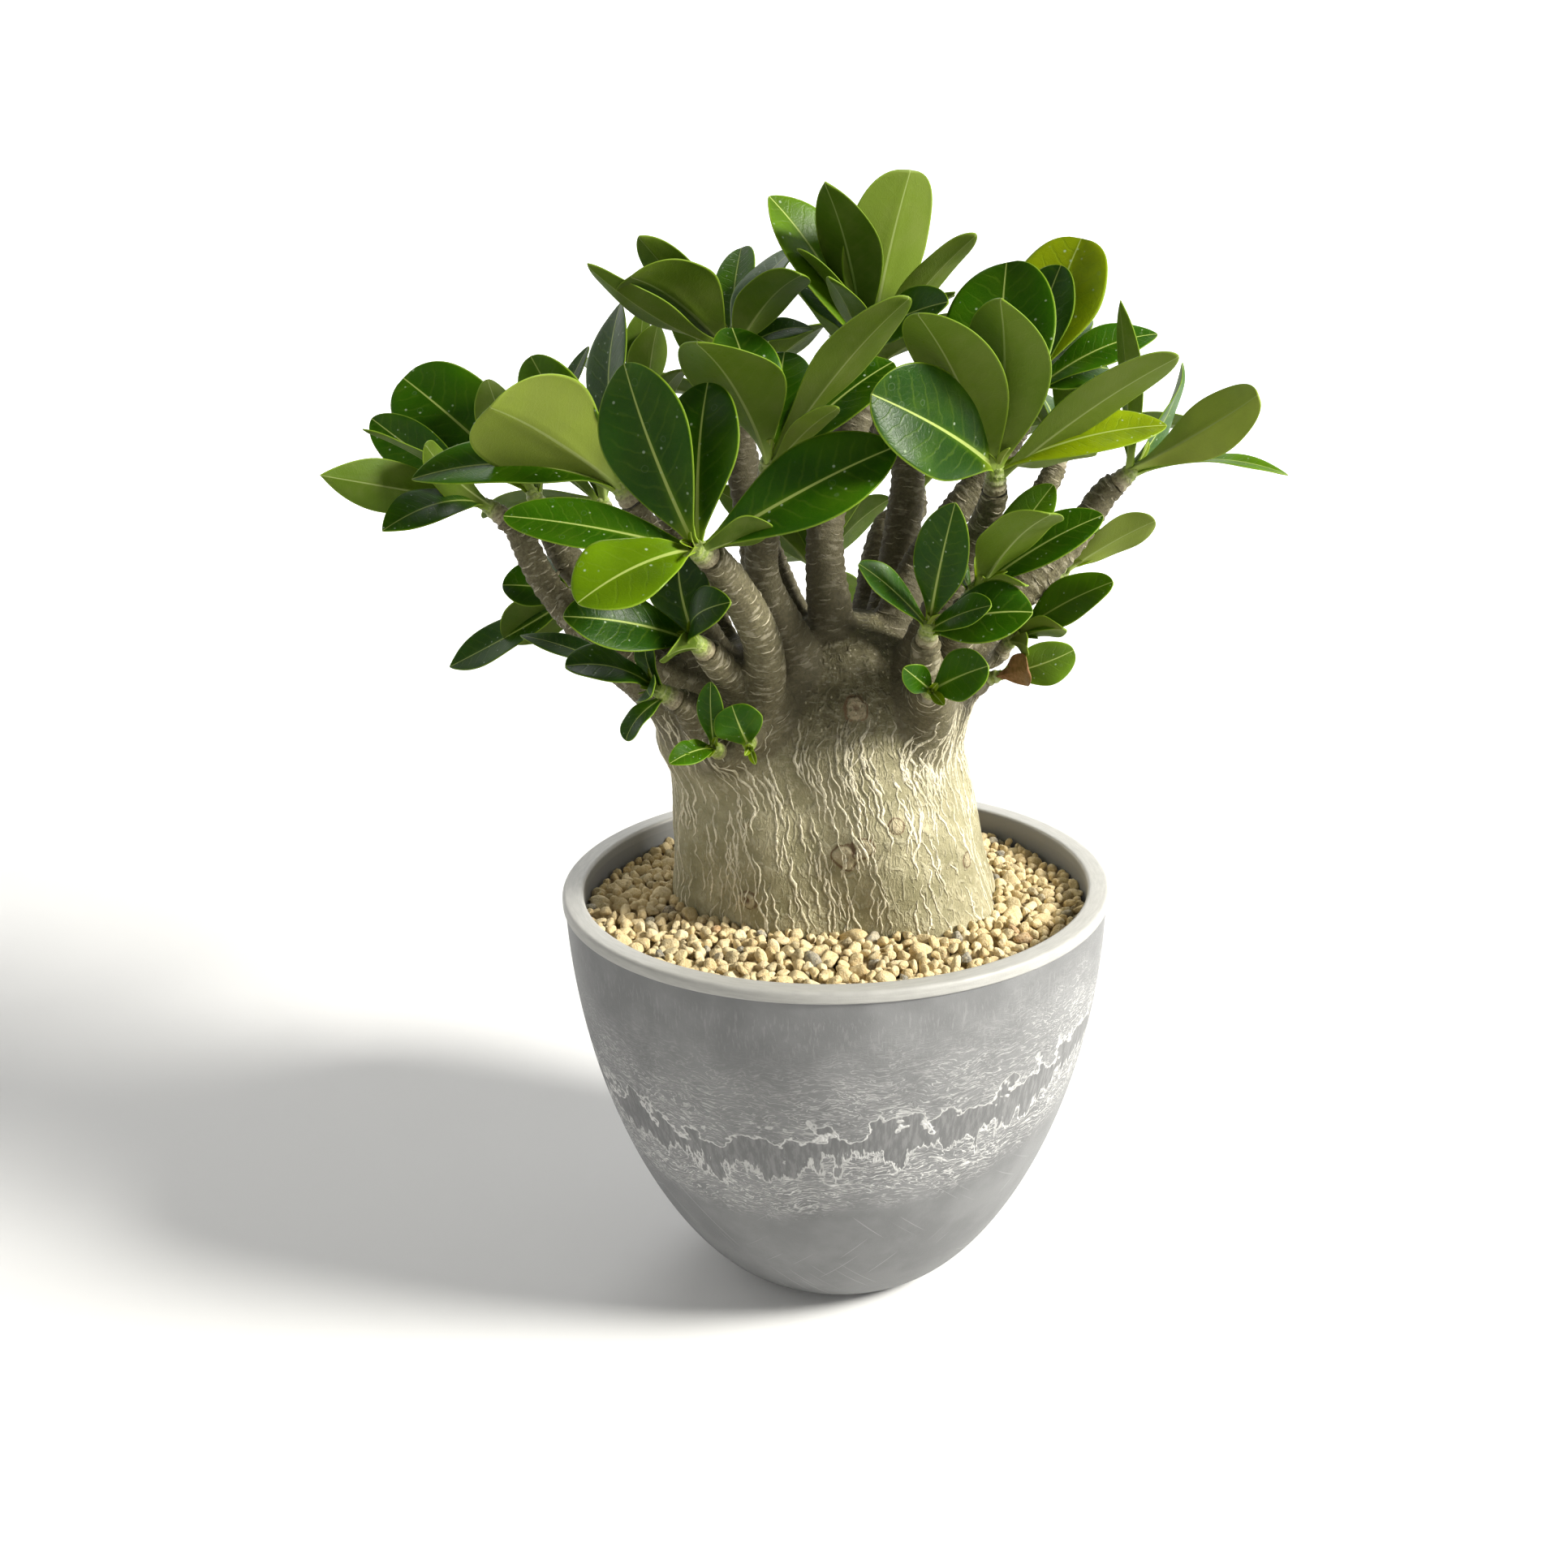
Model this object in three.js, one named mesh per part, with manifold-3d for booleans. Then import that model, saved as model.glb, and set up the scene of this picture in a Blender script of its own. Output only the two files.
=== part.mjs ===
// A potted desert rose (adenium): a swollen trunk with many fat branches, each of
// which ends in a rosette of leaves, growing in a grey pot topped with pumice grains.
//
// Millimetres, +Z up. The origin is the middle of the pot's foot, on the ground.
// Headings are degrees round +Z from +X; rises are degrees above the horizontal.
// The pieces stand 0.3 mm clear of each other where they touch.

import * as THREE from 'three';
import { mergeVertices } from 'three/addons/utils/BufferGeometryUtils.js';
import Module from 'manifold-3d';

const wasm = await Module();
wasm.setup();

// ---------------------------------------------------------------- driving sizes

const CLEARANCE = 0.3;

const POT_HEIGHT = 115;
const RIM_RADIUS = 75;
const RIM_INNER_RADIUS = 69.1;
const RIM_BAND = 3.5;            // height of the plain band round the lip
const RIM_STEP = 0.7;            // how far the band stands out from the bowl
const FOOT_RADIUS = 28;
const BOWL_FULLNESS = 1.95;      // the two exponents of the bowl's rounded side
const BOWL_ROUNDNESS = 1.47;
const WALL = 4;
const FLOOR = 5;
const RIM_BEVEL = 1.2;
const POT_SIDES = 36;
const BOWL_HEIGHTS = [0, 1.5, 5, 12, 23, 38, 56, 78];    // where its outside bends
const BED_HEIGHTS = [100, 80, 58, 36, 18];               // and its inside, with the soil
const KNOCKOUT_RADIUS = 3.5;     // blind moulded discs for drilling drain holes
const KNOCKOUT_DEPTH = 1.2;
const KNOCKOUT_RING = 17;
const KNOCKOUTS = 4;
const KNOCKOUT_SIDES = 10;

const SOIL_LEVEL = 104;          // under the grains, at the wall
const SOIL_MOUND = 3;            // rise towards the trunk
const GRAIN_COLUMNS = 44;        // grains and gaps between them, round the pot
const GRAIN_RINGS = 7;           // and from the wall in under the trunk
const GRAIN_RELIEF = 3.4;
const GRAIN_LEAST = 0.6;         // the lowest peak, as a share of the relief
const GAP_RELIEF = 0.8;          // of the points between the grains
const GRAIN_JITTER = 1.6;        // along the radius
const COLUMN_JITTER = 0.6;       // round the pot, in columns
const INNERMOST_GRAINS = 20;     // radius at which they end, inside the trunk's hole

const TRUNK_TURN = -8;           // the flat trunk's left end is nearer the front
const TRUNK_SIDES = 22;
const BRANCH_SIDES = 6;
const BRANCH_STEP = 16;          // length of branch between two rings

const SHOOT_LENGTH = 7;          // green tip that carries a rosette
const SHOOT_TO_BRANCH = 0.88;    // the shoot's radius, per radius of its branch's end
const SHOOT_TAPER = 0.6;
const SHOOT_SIDES = 5;
const STRAIGHT_END = 3;          // a branch is straight for this long under its shoot
const LEAF_THICKNESS = 0.9;
const WIDEST_PLACE = 0.62;       // along a leaf, from its stalk
const STALK_HALF_WIDTH = 1.1;
const STALK_SPACING = 1;         // between the stalks down a shoot, in turns of four
const SMALL_LEAF = 21;           // shorter leaves are flat, with no trough
const TROUGH = 0.16;             // rise of a leaf's edges over its midrib, per half width
const EDGE_WAVE = 0.35;
const WAVE_TURN = 9;             // radians of wave along a leaf
const WAVE_SHIFT = 1.7;          // and from one leaf to the next
const FULL_WAVE_HALF_WIDTH = 4;

const COLOURS = {
  pot: 0x6b6e73,
  grains: 0xcbb899,
  bark: 0x8a8266,
  leaf: 0x4d6b2c,
};

// ---------------------------------------------------------------- small helpers

const radians = THREE.MathUtils.degToRad;
const vector = (x, y, z) => new THREE.Vector3(x, y, z);

function direction(heading, rise) {
  const flat = Math.cos(radians(rise));
  const turn = radians(heading);
  return vector(flat * Math.cos(turn), flat * Math.sin(turn), Math.sin(radians(rise)));
}

function seededRandom(seed) {
  let state = seed;
  return () => {
    state = (state * 1664525 + 1013904223) % 4294967296;
    return state / 4294967296;
  };
}

function geometryFrom(points, faces) {
  const geometry = new THREE.BufferGeometry();
  const flat = points.flatMap((point) => [point.x, point.y, point.z]);
  geometry.setAttribute('position', new THREE.Float32BufferAttribute(flat, 3));
  geometry.setIndex(faces.flat());
  return geometry;
}

// A closed three.js geometry as a solid that can be joined and cut.
function solid(source) {
  const geometry = source.clone();
  geometry.deleteAttribute('normal');
  geometry.deleteAttribute('uv');
  const merged = mergeVertices(geometry, 1e-4);
  const mesh = new wasm.Mesh({
    numProp: 3,
    vertProperties: new Float32Array(merged.attributes.position.array),
    triVerts: new Uint32Array(merged.index.array),
  });
  return new wasm.Manifold(mesh);
}

function geometryOf(manifold) {
  const { vertProperties, triVerts } = manifold.getMesh();
  const geometry = new THREE.BufferGeometry();
  geometry.setAttribute('position', new THREE.BufferAttribute(vertProperties, 3));
  geometry.setIndex(new THREE.BufferAttribute(triVerts, 1));
  geometry.computeVertexNormals();
  return geometry;
}

function join(solids) {
  return solids.reduce((whole, next) => whole.add(next));
}

// A closed body through rings of equally many points, each ring counter-clockwise
// as seen from the far end. Its squares are split along one diagonal, or along
// alternate ones, so that every other point can stand up as a peak.
function loft(rings, alternate = false) {
  const sides = rings[0].length;
  const points = rings.flat();
  const faces = [];
  for (let ring = 0; ring + 1 < rings.length; ring += 1) {
    for (let side = 0; side < sides; side += 1) {
      const next = (side + 1) % sides;
      const a = ring * sides + side;
      const b = ring * sides + next;
      if (alternate && (ring + side) % 2 === 0) {
        faces.push([a, b, a + sides], [b, b + sides, a + sides]);
      } else {
        faces.push([a, b, b + sides], [a, b + sides, a + sides]);
      }
    }
  }
  const last = (rings.length - 1) * sides;
  for (let side = 1; side + 1 < sides; side += 1) {
    faces.push([0, side + 1, side], [last, last + side, last + side + 1]);
  }
  return geometryFrom(points, faces);
}

// A tapered tube along a smooth curve through the points, with a radius at each.
function tube(points, radii, sides, stepLength) {
  const curve = new THREE.CatmullRomCurve3(points, false, 'centripetal');
  const spans = points.length - 1;
  const steps = Math.ceil(curve.getLength() / stepLength);
  const rings = [];
  let across = vector(0, 1, 0.2);
  for (let step = 0; step <= steps; step += 1) {
    const place = (step * spans) / steps;
    const span = Math.min(Math.floor(place), spans - 1);
    const radius = THREE.MathUtils.lerp(radii[span], radii[span + 1], place - span);
    const centre = curve.getPoint(step / steps);
    const along = curve.getTangent(step / steps);
    across = across.clone().addScaledVector(along, -across.dot(along)).normalize();
    const other = along.clone().cross(across);
    const ring = [];
    for (let side = 0; side < sides; side += 1) {
      const turn = (2 * Math.PI * side) / sides;
      ring.push(centre.clone()
        .addScaledVector(across, radius * Math.cos(turn))
        .addScaledVector(other, radius * Math.sin(turn)));
    }
    rings.push(ring);
  }
  return loft(rings);
}

// ---------------------------------------------------------------- pot

function bowlRadius(height) {
  const fullness = 1 - (1 - height / POT_HEIGHT) ** BOWL_FULLNESS;
  const widest = RIM_RADIUS - RIM_STEP - FOOT_RADIUS;
  return FOOT_RADIUS + widest * fullness ** (1 / BOWL_ROUNDNESS);
}

function innerRadius(height) {
  const lip = POT_HEIGHT - RIM_BAND;
  const atLip = Math.min(bowlRadius(height) - WALL, RIM_INNER_RADIUS);
  return height > lip ? RIM_INNER_RADIUS : atLip;
}

function makePot() {
  const underBand = POT_HEIGHT - RIM_BAND;
  const outside = [...BOWL_HEIGHTS, underBand];
  const inside = [underBand, ...BED_HEIGHTS, FLOOR];
  const profile = [
    [0, 0],
    ...outside.map((height) => [bowlRadius(height), height]),
    [RIM_RADIUS, underBand + RIM_STEP],
    [RIM_RADIUS, POT_HEIGHT - RIM_BEVEL],
    [RIM_RADIUS - RIM_BEVEL, POT_HEIGHT],
    [RIM_INNER_RADIUS + RIM_BEVEL, POT_HEIGHT],
    [RIM_INNER_RADIUS, POT_HEIGHT - RIM_BEVEL],
    ...inside.map((height) => [innerRadius(height), height]),
    [0, FLOOR],
  ].map(([radius, height]) => new THREE.Vector2(radius, height));
  const bowl = new THREE.LatheGeometry(profile, POT_SIDES).rotateX(Math.PI / 2);
  let pot = solid(bowl);
  for (let index = 0; index < KNOCKOUTS; index += 1) {
    const turn = (2 * Math.PI * (index + 0.5)) / KNOCKOUTS;
    const disc = new THREE.CylinderGeometry(
      KNOCKOUT_RADIUS, KNOCKOUT_RADIUS, 2 * KNOCKOUT_DEPTH, KNOCKOUT_SIDES)
      .rotateX(Math.PI / 2)
      .translate(KNOCKOUT_RING * Math.cos(turn), KNOCKOUT_RING * Math.sin(turn), 0);
    pot = pot.subtract(solid(disc));
  }
  return pot;
}

// ---------------------------------------------------------------- trunk and branches

// Height, middle x and y, half width, half depth: from the buried plug to the crown.
const TRUNK_LEVELS = [
  [86, 1.5, 4, 33, 19],
  [98, 1.5, 3, 43, 27],
  [106, 1.5, 2, 45.5, 30],
  [118, 0, 1, 43.5, 29],
  [132, -2, 0, 41.8, 28],
  [146, -4, 0, 40.4, 26.5],
  [156, -7, 0, 40.5, 26],
  [166, -5, 1, 38, 24],
  [176, -1, 1, 29, 20],
  [184, 0, 1, 21, 15],
  [189, 1, 1, 12, 9],
];

// Ribs and hollows of the swollen trunk: how many round it, how deep, and their turn.
const TRUNK_RIBS = [[3, 0.035, 20], [5, 0.03, 100], [8, 0.018, 10]];

function trunkRing([height, x, y, halfWidth, halfDepth], grow) {
  const ring = [];
  const turn = radians(TRUNK_TURN);
  for (let side = 0; side < TRUNK_SIDES; side += 1) {
    const angle = (2 * Math.PI * side) / TRUNK_SIDES;
    const swell = TRUNK_RIBS.reduce((sum, [count, depth, phase]) => (
      sum + depth * Math.cos(count * angle + radians(phase) + height * 0.02)), 1);
    const wide = (halfWidth * swell + grow) * Math.cos(angle);
    const deep = (halfDepth * swell + grow) * Math.sin(angle);
    ring.push(vector(
      x + wide * Math.cos(turn) - deep * Math.sin(turn),
      y + wide * Math.sin(turn) + deep * Math.cos(turn),
      height,
    ));
  }
  return ring;
}

function makeTrunk(grow) {
  const levels = TRUNK_LEVELS.map((level) => [...level]);
  levels[0][0] -= grow;
  return solid(loft(levels.map((level) => trunkRing(level, grow))));
}

// Each branch: the rosette it carries, its points, and the radius at each point and
// at its end. It starts inside the crown, and its end face meets the green shoot.
const BRANCHES = [
  ['far_left', [[-28, -2, 158], [-42, -6, 170], [-57, -6, 182], [-74, 0, 198]], [13, 8.5, 6, 3.8, 3]],
  ['left_mid', [[-28, 5, 160], [-39, 6, 169], [-56, 8, 186], [-70, 9, 204]], [10, 6.5, 5, 4, 3.2]],
  ['left_top', [[-20, -3, 164], [-33, -5, 182], [-41, -12, 204]], [9, 6, 4.2, 3.4]],
  ['inner_left', [[-20, 8, 160], [-30, 12, 173], [-36, 22, 193]], [9, 6.5, 5, 3.4]],
  ['front_left', [[-14, -10, 158], [-17, -20, 168], [-17, -36, 192]], [7, 5.5, 4.4, 3.6]],
  ['low_left', [[-20, -16, 165], [-24, -26, 177]], [6, 4, 3.2]],
  ['side_left', [[-28, -14, 160], [-35, -22, 169]], [8, 4.6, 3.2]],
  ['back_left_low', [[-34, 6, 168], [-50, 12, 180]], [6.5, 4, 3.2]],
  ['top_left', [[-8, 2, 165], [-9, 4, 180], [-16, 6, 201], [-22, 6, 224]], [10, 6.8, 5.2, 4.2, 3.4]],
  ['middle', [[-6, -10, 162], [-10, -14, 184], [-17, -22, 206]], [8, 6, 4.6, 3.6]],
  ['top', [[2, -4, 160], [1, -6, 181], [-1, -4, 213]], [10, 6.6, 4.8, 3.6]],
  ['right_top', [[14, 2, 162], [17, 2, 184], [23, 6, 200]], [10, 6.4, 4.6, 3.6]],
  ['right', [[20, -10, 162], [23, -13, 183], [32, -18, 203]], [7, 5, 3.8, 3.3]],
  ['far_right', [[24, 0, 162], [31, -3, 178], [46, -2, 192], [62, 2, 206]], [11, 7.5, 5.2, 4.2, 3.2]],
  ['right_bud', [[36, 0, 182], [50, 8, 190]], [4.4, 3.2, 2.8]],
  ['right_mid', [[24, -12, 168], [31, -23, 186]], [6.5, 4.4, 3.3]],
  ['right_low', [[22, 0, 168], [34, 0, 180]], [7, 4.2, 3]],
  ['right_twig', [[20, -2, 158], [31, -2, 167]], [6, 3.6, 2.6]],
  ['front_right', [[22, -14, 158], [26, -24, 172]], [7, 4.2, 3.2]],
  ['trunk_right', [[22, -14, 172], [24, -25, 175]], [4.6, 3.2, 2.6]],
  ['trunk_left', [[-22, -12, 156], [-27, -19, 160]], [4.6, 3.2, 2.6]],
  ['trunk_leaf', [[-18, -12, 166], [-21, -22, 169]], [4.4, 3, 2.4]],
  ['rear_left', [[-24, 8, 160], [-38, 26, 182], [-52, 42, 204]], [10, 6.4, 4.8, 3.4]],
  ['rear_mid_left', [[-14, 10, 160], [-18, 28, 184], [-22, 42, 212]], [9, 6, 4.6, 3.4]],
  ['rear_mid', [[6, 10, 160], [12, 28, 184], [17, 42, 204]], [9, 6, 4.6, 3.4]],
  ['rear_right', [[20, 8, 160], [34, 24, 182], [50, 36, 200]], [9, 6, 4.6, 3.4]],
  ['rear_low', [[0, 14, 158], [-2, 34, 176]], [8.5, 5.4, 3.4]],
  ['rear_high', [[10, 6, 164], [18, 20, 196], [21, 31, 226]], [8.5, 5.6, 4.4, 3.4]],
];

function makePlantBody(shoots) {
  const limbs = BRANCHES.map(([name, route, radii]) => {
    const { tip, axis } = shoots[name];
    const end = tip.clone().addScaledVector(axis, -SHOOT_LENGTH - CLEARANCE);
    const beforeEnd = end.clone().addScaledVector(axis, -STRAIGHT_END);
    const points = [...route.map(([x, y, z]) => vector(x, y, z)), beforeEnd, end];
    return solid(tube(points, [...radii, radii.at(-1)], BRANCH_SIDES, BRANCH_STEP));
  });
  return join([makeTrunk(0), ...limbs]);
}

// ---------------------------------------------------------------- rosettes

// Each rosette: the shoot's tip, the way it grows as a heading and a rise, and its
// leaves as [heading, rise, length, width, roll, arch, pointedness].
const ROSETTES = {
  front_left: { tip: [-31, -62, 221], grows: [-120, 30], leaves: [
    [147, 66, 44, 23, -5, 2, 0.6], [79, 64, 39, 21, 5, 2, 0.55], [6, 25, 52, 21, 5, 2, 0.8],
    [177, 10, 44, 14, 20, 2, 0.6], [-142, -14, 32, 20, -5, 3, 0.5], [0, 15, 19, 13, -90, 0, 0.5],
  ] },
  low_left: { tip: [-33, -46, 195], grows: [-115, 35], leaves: [
    [140, 78, 22, 17, -5, 2, 0.5], [-148, 18, 35, 16, 0, 3, 0.6], [-60, 35, 23, 13, -5, 5, 0.6],
    [-105, 5, 20, 9, 35, 1, 0.6],
  ] },
  side_left: { tip: [-44, -32, 179], grows: [-145, 35], leaves: [
    [-152, 23, 25, 15, 0, 3, 0.5], [155, 15, 41, 9, 45, 2, 0.7], [135, 75, 13, 8, 0, 2, 0.6],
    [-145, -50, 15, 8, -10, 2, 0.5], [-90, 10, 16, 8, 0, 2, 0.5],
  ] },
  back_left_low: { tip: [-70, 22, 192], grows: [180, 40], leaves: [
    [174, -30, 44, 15, -30, -1, 0.8], [-172, 8, 20.1, 15, -50, 1, 0.5],
    [109, 19, 29, 18, -10, 2, 0.5], [167, -34, 26, 17, 65, 2, 0.5],
  ] },
  far_left: { tip: [-90, 0, 221.1], grows: [-170, 40], leaves: [
    [-151, 15, 43, 13.5, 60, 0, 1], [-166, 36, 35, 9, -20, 2, 0.9], [155, 31, 39, 14, 0, 2, 0.6],
    [-120, 40, 27, 12, 30, 2, 0.6], [-122, -1, 36, 13, -70, 4, 0.8],
  ] },
  left_mid: { tip: [-79, 12, 222], grows: [165, 65], leaves: [
    [155, 36, 48, 26, -40, 3, 0.45], [171, 70, 30.4, 14, -5, 1, 0.5], [40, 60, 41, 9, 20, 2, 0.6],
    [100, 35, 34, 15, 0, 3, 0.5],
  ] },
  left_top: { tip: [-53, -18, 229], grows: [-150, 55], leaves: [
    [-129, 31, 46, 30, 25, 3, 0.45], [-156, 58, 37, 18, 0, 2, 0.45],
    [-161, 5, 50, 18, -20, 6, 0.7], [85, 68, 45, 18, -10, 4, 0.7],
  ] },
  inner_left: { tip: [-50, 28, 237], grows: [115, 75], leaves: [
    [80, 85, 29, 10, 10, 1, 0.6], [0, 80, 26, 14, 0, 1, 0.5], [-50, 40, 24, 10, 0, 2, 0.6],
    [135, 35, 28, 12, 0, 2, 0.5],
  ] },
  top_left: { tip: [-25, 4, 260], grows: [-135, 80], leaves: [
    [-150, 30, 43, 12, 25, -3, 0.8], [-135, 32, 36, 25, 30, 3, 0.5],
    [-148, 49, 36, 13, 40, 1, 0.7], [-46, 34, 33, 16, -30, 3, 0.5], [42, 44, 33, 19, -10, 2, 0.6],
    [55, 20, 23, 8, 5, 1, 0.6], [85, 36, 37, 12, -15, 1, 0.4], [25, 5, 24, 8, 25, 3, 0.6],
  ] },
  middle: { tip: [-14, -34, 237], grows: [-90, 70], leaves: [
    [-119, 46, 42, 25, 25, 3, 0.7], [-25, 47, 52, 15, -60, 2, 0.5], [30, 30, 40, 18, 5, 2, 0.6],
    [-60, 25, 36, 7, -35, 2, 0.6], [113, 52, 36, 18, 15, 1, 0.45], [83, 37, 36, 17, 0, 1, 0.5],
  ] },
  top: { tip: [10, 5, 258], grows: [-90, 85], leaves: [
    [-114, 61, 47, 17, 0, 3, 1], [-171, 58, 44, 20, -40, 3, 0.7], [-42, 72, 45, 25, -30, 1, 0.4],
    [-28, 43, 41, 11, -35, 2, 0.6], [-140, 50, 33, 10, 0, 2, 0.5], [140, 40, 28, 14, -10, 2, 0.5],
    [-50, 25, 36, 8, -15, 2, 0.8], [-105, 30, 40, 10, -20, 2, 0.9], [-60, 20, 39, 14, 60, 3, 0.6],
  ] },
  right_top: { tip: [52, 12, 247], grows: [0, 80], leaves: [
    [39, 63, 40, 25, 5, 1, 0.4], [31, 4, 27, 14, 35, 3, 0.5], [7, 75, 30.4, 18, 30, 2, 0.5],
    [7, 19, 36, 12, 40, 5, 0.7], [50, 30, 30, 14, 0, 2, 0.5],
  ] },
  right: { tip: [40, -37, 234], grows: [-85, 65], leaves: [
    [-137, 27, 46, 25, -55, 3, 0.5], [-129, 52, 49, 24, 45, 2, 0.6], [-93, 60, 47, 22, 0, 3, 0.8],
    [-17, 33, 49, 13, -80, 2, 0.6], [3, 12, 41, 13, 10, 3, 0.7], [35, 0, 31, 12, -65, 2, 0.5],
    [82, 56, 54, 28, -20, 2, 0.45],
  ] },
  far_right: { tip: [80, 5, 226], grows: [-10, 42], leaves: [
    [-42, 31, 40, 15, -40, 2, 0.45], [-119, 70, 46, 11, 22, 1, 1], [-16, -1, 38, 7, 20, 4, 0.8],
    [50, 45, 33, 15, 40, 2, 0.6], [150, 62, 26, 8, 20, 1, 0.8],
  ] },
  right_bud: { tip: [63.7, 12, 198.2], grows: [0, 40], leaves: [
    [-3, 30, 25.8, 11, -55, 1, 0.45], [25, 55, 17, 8, 0, 1, 0.5],
  ] },
  right_mid: { tip: [36, -36, 205], grows: [-50, 60], leaves: [
    [-57, 41, 34, 18, 0, 2, 0.45], [-2, 30, 33.8, 14, 5, 2, 0.6], [19, 50, 30, 11, 0, 1, 0.6],
    [160, 50, 19, 9, 0, 1, 0.6], [-45, 10, 15, 8, -30, 1, 0.5],
  ] },
  right_low: { tip: [49, 0, 183], grows: [-45, 40], leaves: [
    [-29, 33, 31, 13, 0, 2, 0.5], [-47, 17, 17, 9, -40, 1, 0.5], [-85, 5, 18, 6, -50, 1, 0.5],
  ] },
  right_twig: { tip: [45.1, -4, 173.2], grows: [-20, 20], leaves: [
    [-62, 20, 14, 9, 0, 1, 0.4], [-15, 21, 20, 13, 10, 1, 0.4],
  ] },
  front_right: { tip: [24, -40, 197], grows: [-80, 60], leaves: [
    [-69, 66, 34, 14, -5, 1, 0.7], [-160, 42, 24, 9, -10, 1, 0.5], [-45, 21, 20, 9, 30, 1, 0.5],
    [-24, 11, 26, 17, 20, 3, 0.6],
  ] },
  trunk_right: { tip: [24.2, -43, 180.5], grows: [-90, 18], leaves: [
    [-127, 36, 14, 7, 0, 1, 0.6], [-38, 29, 18, 13, -20, 1, 0.5],
  ] },
  trunk_left: { tip: [-30, -34, 164], grows: [-105, 30], leaves: [
    [-89, 80, 18, 7, 0, 1, 0.6], [-128, 1, 16, 7, 0, 2, 0.6], [-130, 10, 12, 5, 0, 1, 0.6],
  ] },
  trunk_leaf: { tip: [-20.9, -37, 164.8], grows: [-90, 0], leaves: [
    [-151, 69, 12, 12.5, 0, 1, 0.35],
  ] },
};

// The rosettes at the back, whose leaves follow the golden angle round the shoot.
const REAR_ROSETTES = {
  rear_left: { tip: [-66, 56, 212], grows: [122, 58] },
  rear_mid_left: { tip: [-26, 56, 238], grows: [110, 65] },
  rear_mid: { tip: [26, 62, 214], grows: [80, 55] },
  rear_right: { tip: [66, 45, 226], grows: [40, 60] },
  rear_low: { tip: [-4, 60, 190], grows: [95, 25] },
  rear_high: { tip: [11, 46, 248], grows: [80, 75] },
};
const REAR_LEAVES = 6;
const GOLDEN_ANGLE = 137.5;
const OLD_LEAF = { spread: 74, length: 38 };      // the outermost, and how much less
const YOUNG_LEAF = { spread: 24, length: 24 };    // the innermost leans and reaches
const LOOSE_LEAF = { spread: 8, length: 5, width: 0.1, point: 0.3 };
const REAR_LEAF_WIDTH = 0.36;                     // per length
const REAR_LEAF_POINT = 0.45;
const REAR_LEAF_ARCH = 3;
const REAR_START = 40;                            // degrees from one rosette's first leaf to the next's

// Turns a leaf that is given round the shoot's own axis into a heading and a rise.
function leafRoundShoot(grows, turn, spread, shape) {
  const axis = direction(...grows);
  const across = direction(grows[0], grows[1] - 90).applyAxisAngle(axis, radians(turn));
  const along = axis.clone().multiplyScalar(Math.cos(radians(spread)))
    .addScaledVector(across, Math.sin(radians(spread)));
  const heading = THREE.MathUtils.radToDeg(Math.atan2(along.y, along.x));
  const rise = THREE.MathUtils.radToDeg(Math.asin(along.z));
  return [heading, rise, ...shape];
}

function rearLeaves(grows, seed) {
  const random = seededRandom(seed);
  const leaves = [];
  for (let index = 0; index < REAR_LEAVES; index += 1) {
    const young = index / (REAR_LEAVES - 1);
    const turn = index * GOLDEN_ANGLE + seed * REAR_START;
    const spread = THREE.MathUtils.lerp(OLD_LEAF.spread, YOUNG_LEAF.spread, young)
      + LOOSE_LEAF.spread * random();
    const length = THREE.MathUtils.lerp(OLD_LEAF.length, YOUNG_LEAF.length, young)
      + LOOSE_LEAF.length * random();
    const width = length * (REAR_LEAF_WIDTH + LOOSE_LEAF.width * random());
    const pointedness = REAR_LEAF_POINT + LOOSE_LEAF.point * random();
    leaves.push(leafRoundShoot(
      grows, turn, spread, [length, width, 0, REAR_LEAF_ARCH, pointedness]));
  }
  return leaves;
}

// A thin blade: a grid of points with a normal at each, thickened downwards. Both
// faces are split along the same diagonals.
function blade(rows, thickness) {
  const columns = rows[0].length;
  const upper = rows.flat();
  const count = upper.length;
  const points = [
    ...upper.map(({ point }) => point),
    ...upper.map(({ point, normal }) => point.clone().addScaledVector(normal, -thickness)),
  ];
  const faces = [];
  const quad = (a, b, c, d) => faces.push([a, b, c], [a, c, d]);
  for (let row = 0; row + 1 < rows.length; row += 1) {
    for (let column = 0; column + 1 < columns; column += 1) {
      const a = row * columns + column;
      const d = a + columns;
      quad(a, a + 1, d + 1, d);
      faces.push([count + a, count + d + 1, count + a + 1], [count + a, count + d, count + d + 1]);
    }
    const left = row * columns;
    const right = left + columns - 1;
    quad(left, left + columns, count + left + columns, count + left);
    quad(right, count + right, count + right + columns, right + columns);
  }
  const end = (rows.length - 1) * columns;
  for (let column = 0; column + 1 < columns; column += 1) {
    quad(column, count + column, count + column + 1, column + 1);
    quad(end + column, end + column + 1, count + end + column + 1, count + end + column);
  }
  return geometryFrom(points, faces);
}

// Stations along a leaf, from its stalk to its tip: more on the longer leaves.
function leafStations(length) {
  if (length >= 41) return [0, 0.18, 0.42, 0.66, 0.89, 1];
  if (length >= 25) return [0, 0.24, 0.6, 0.88, 1];
  return [0, 0.35, 0.8, 1];
}

// Half the width of a leaf: it swells from its stalk to its widest place, and is
// round (pointedness 0.5) or drawn out (1) from there to its tip.
function leafWidth(t, width, pointedness) {
  const rising = Math.sin(0.5 * Math.PI * Math.min(1, t / WIDEST_PLACE) ** 1.2);
  const beyond = Math.max(0, (t - WIDEST_PLACE) / (1 - WIDEST_PLACE));
  const closing = (1 - beyond ** 2) ** pointedness;
  return Math.max(STALK_HALF_WIDTH * (1 - 0.4 * t), 0.5 * width * rising * closing);
}

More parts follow.
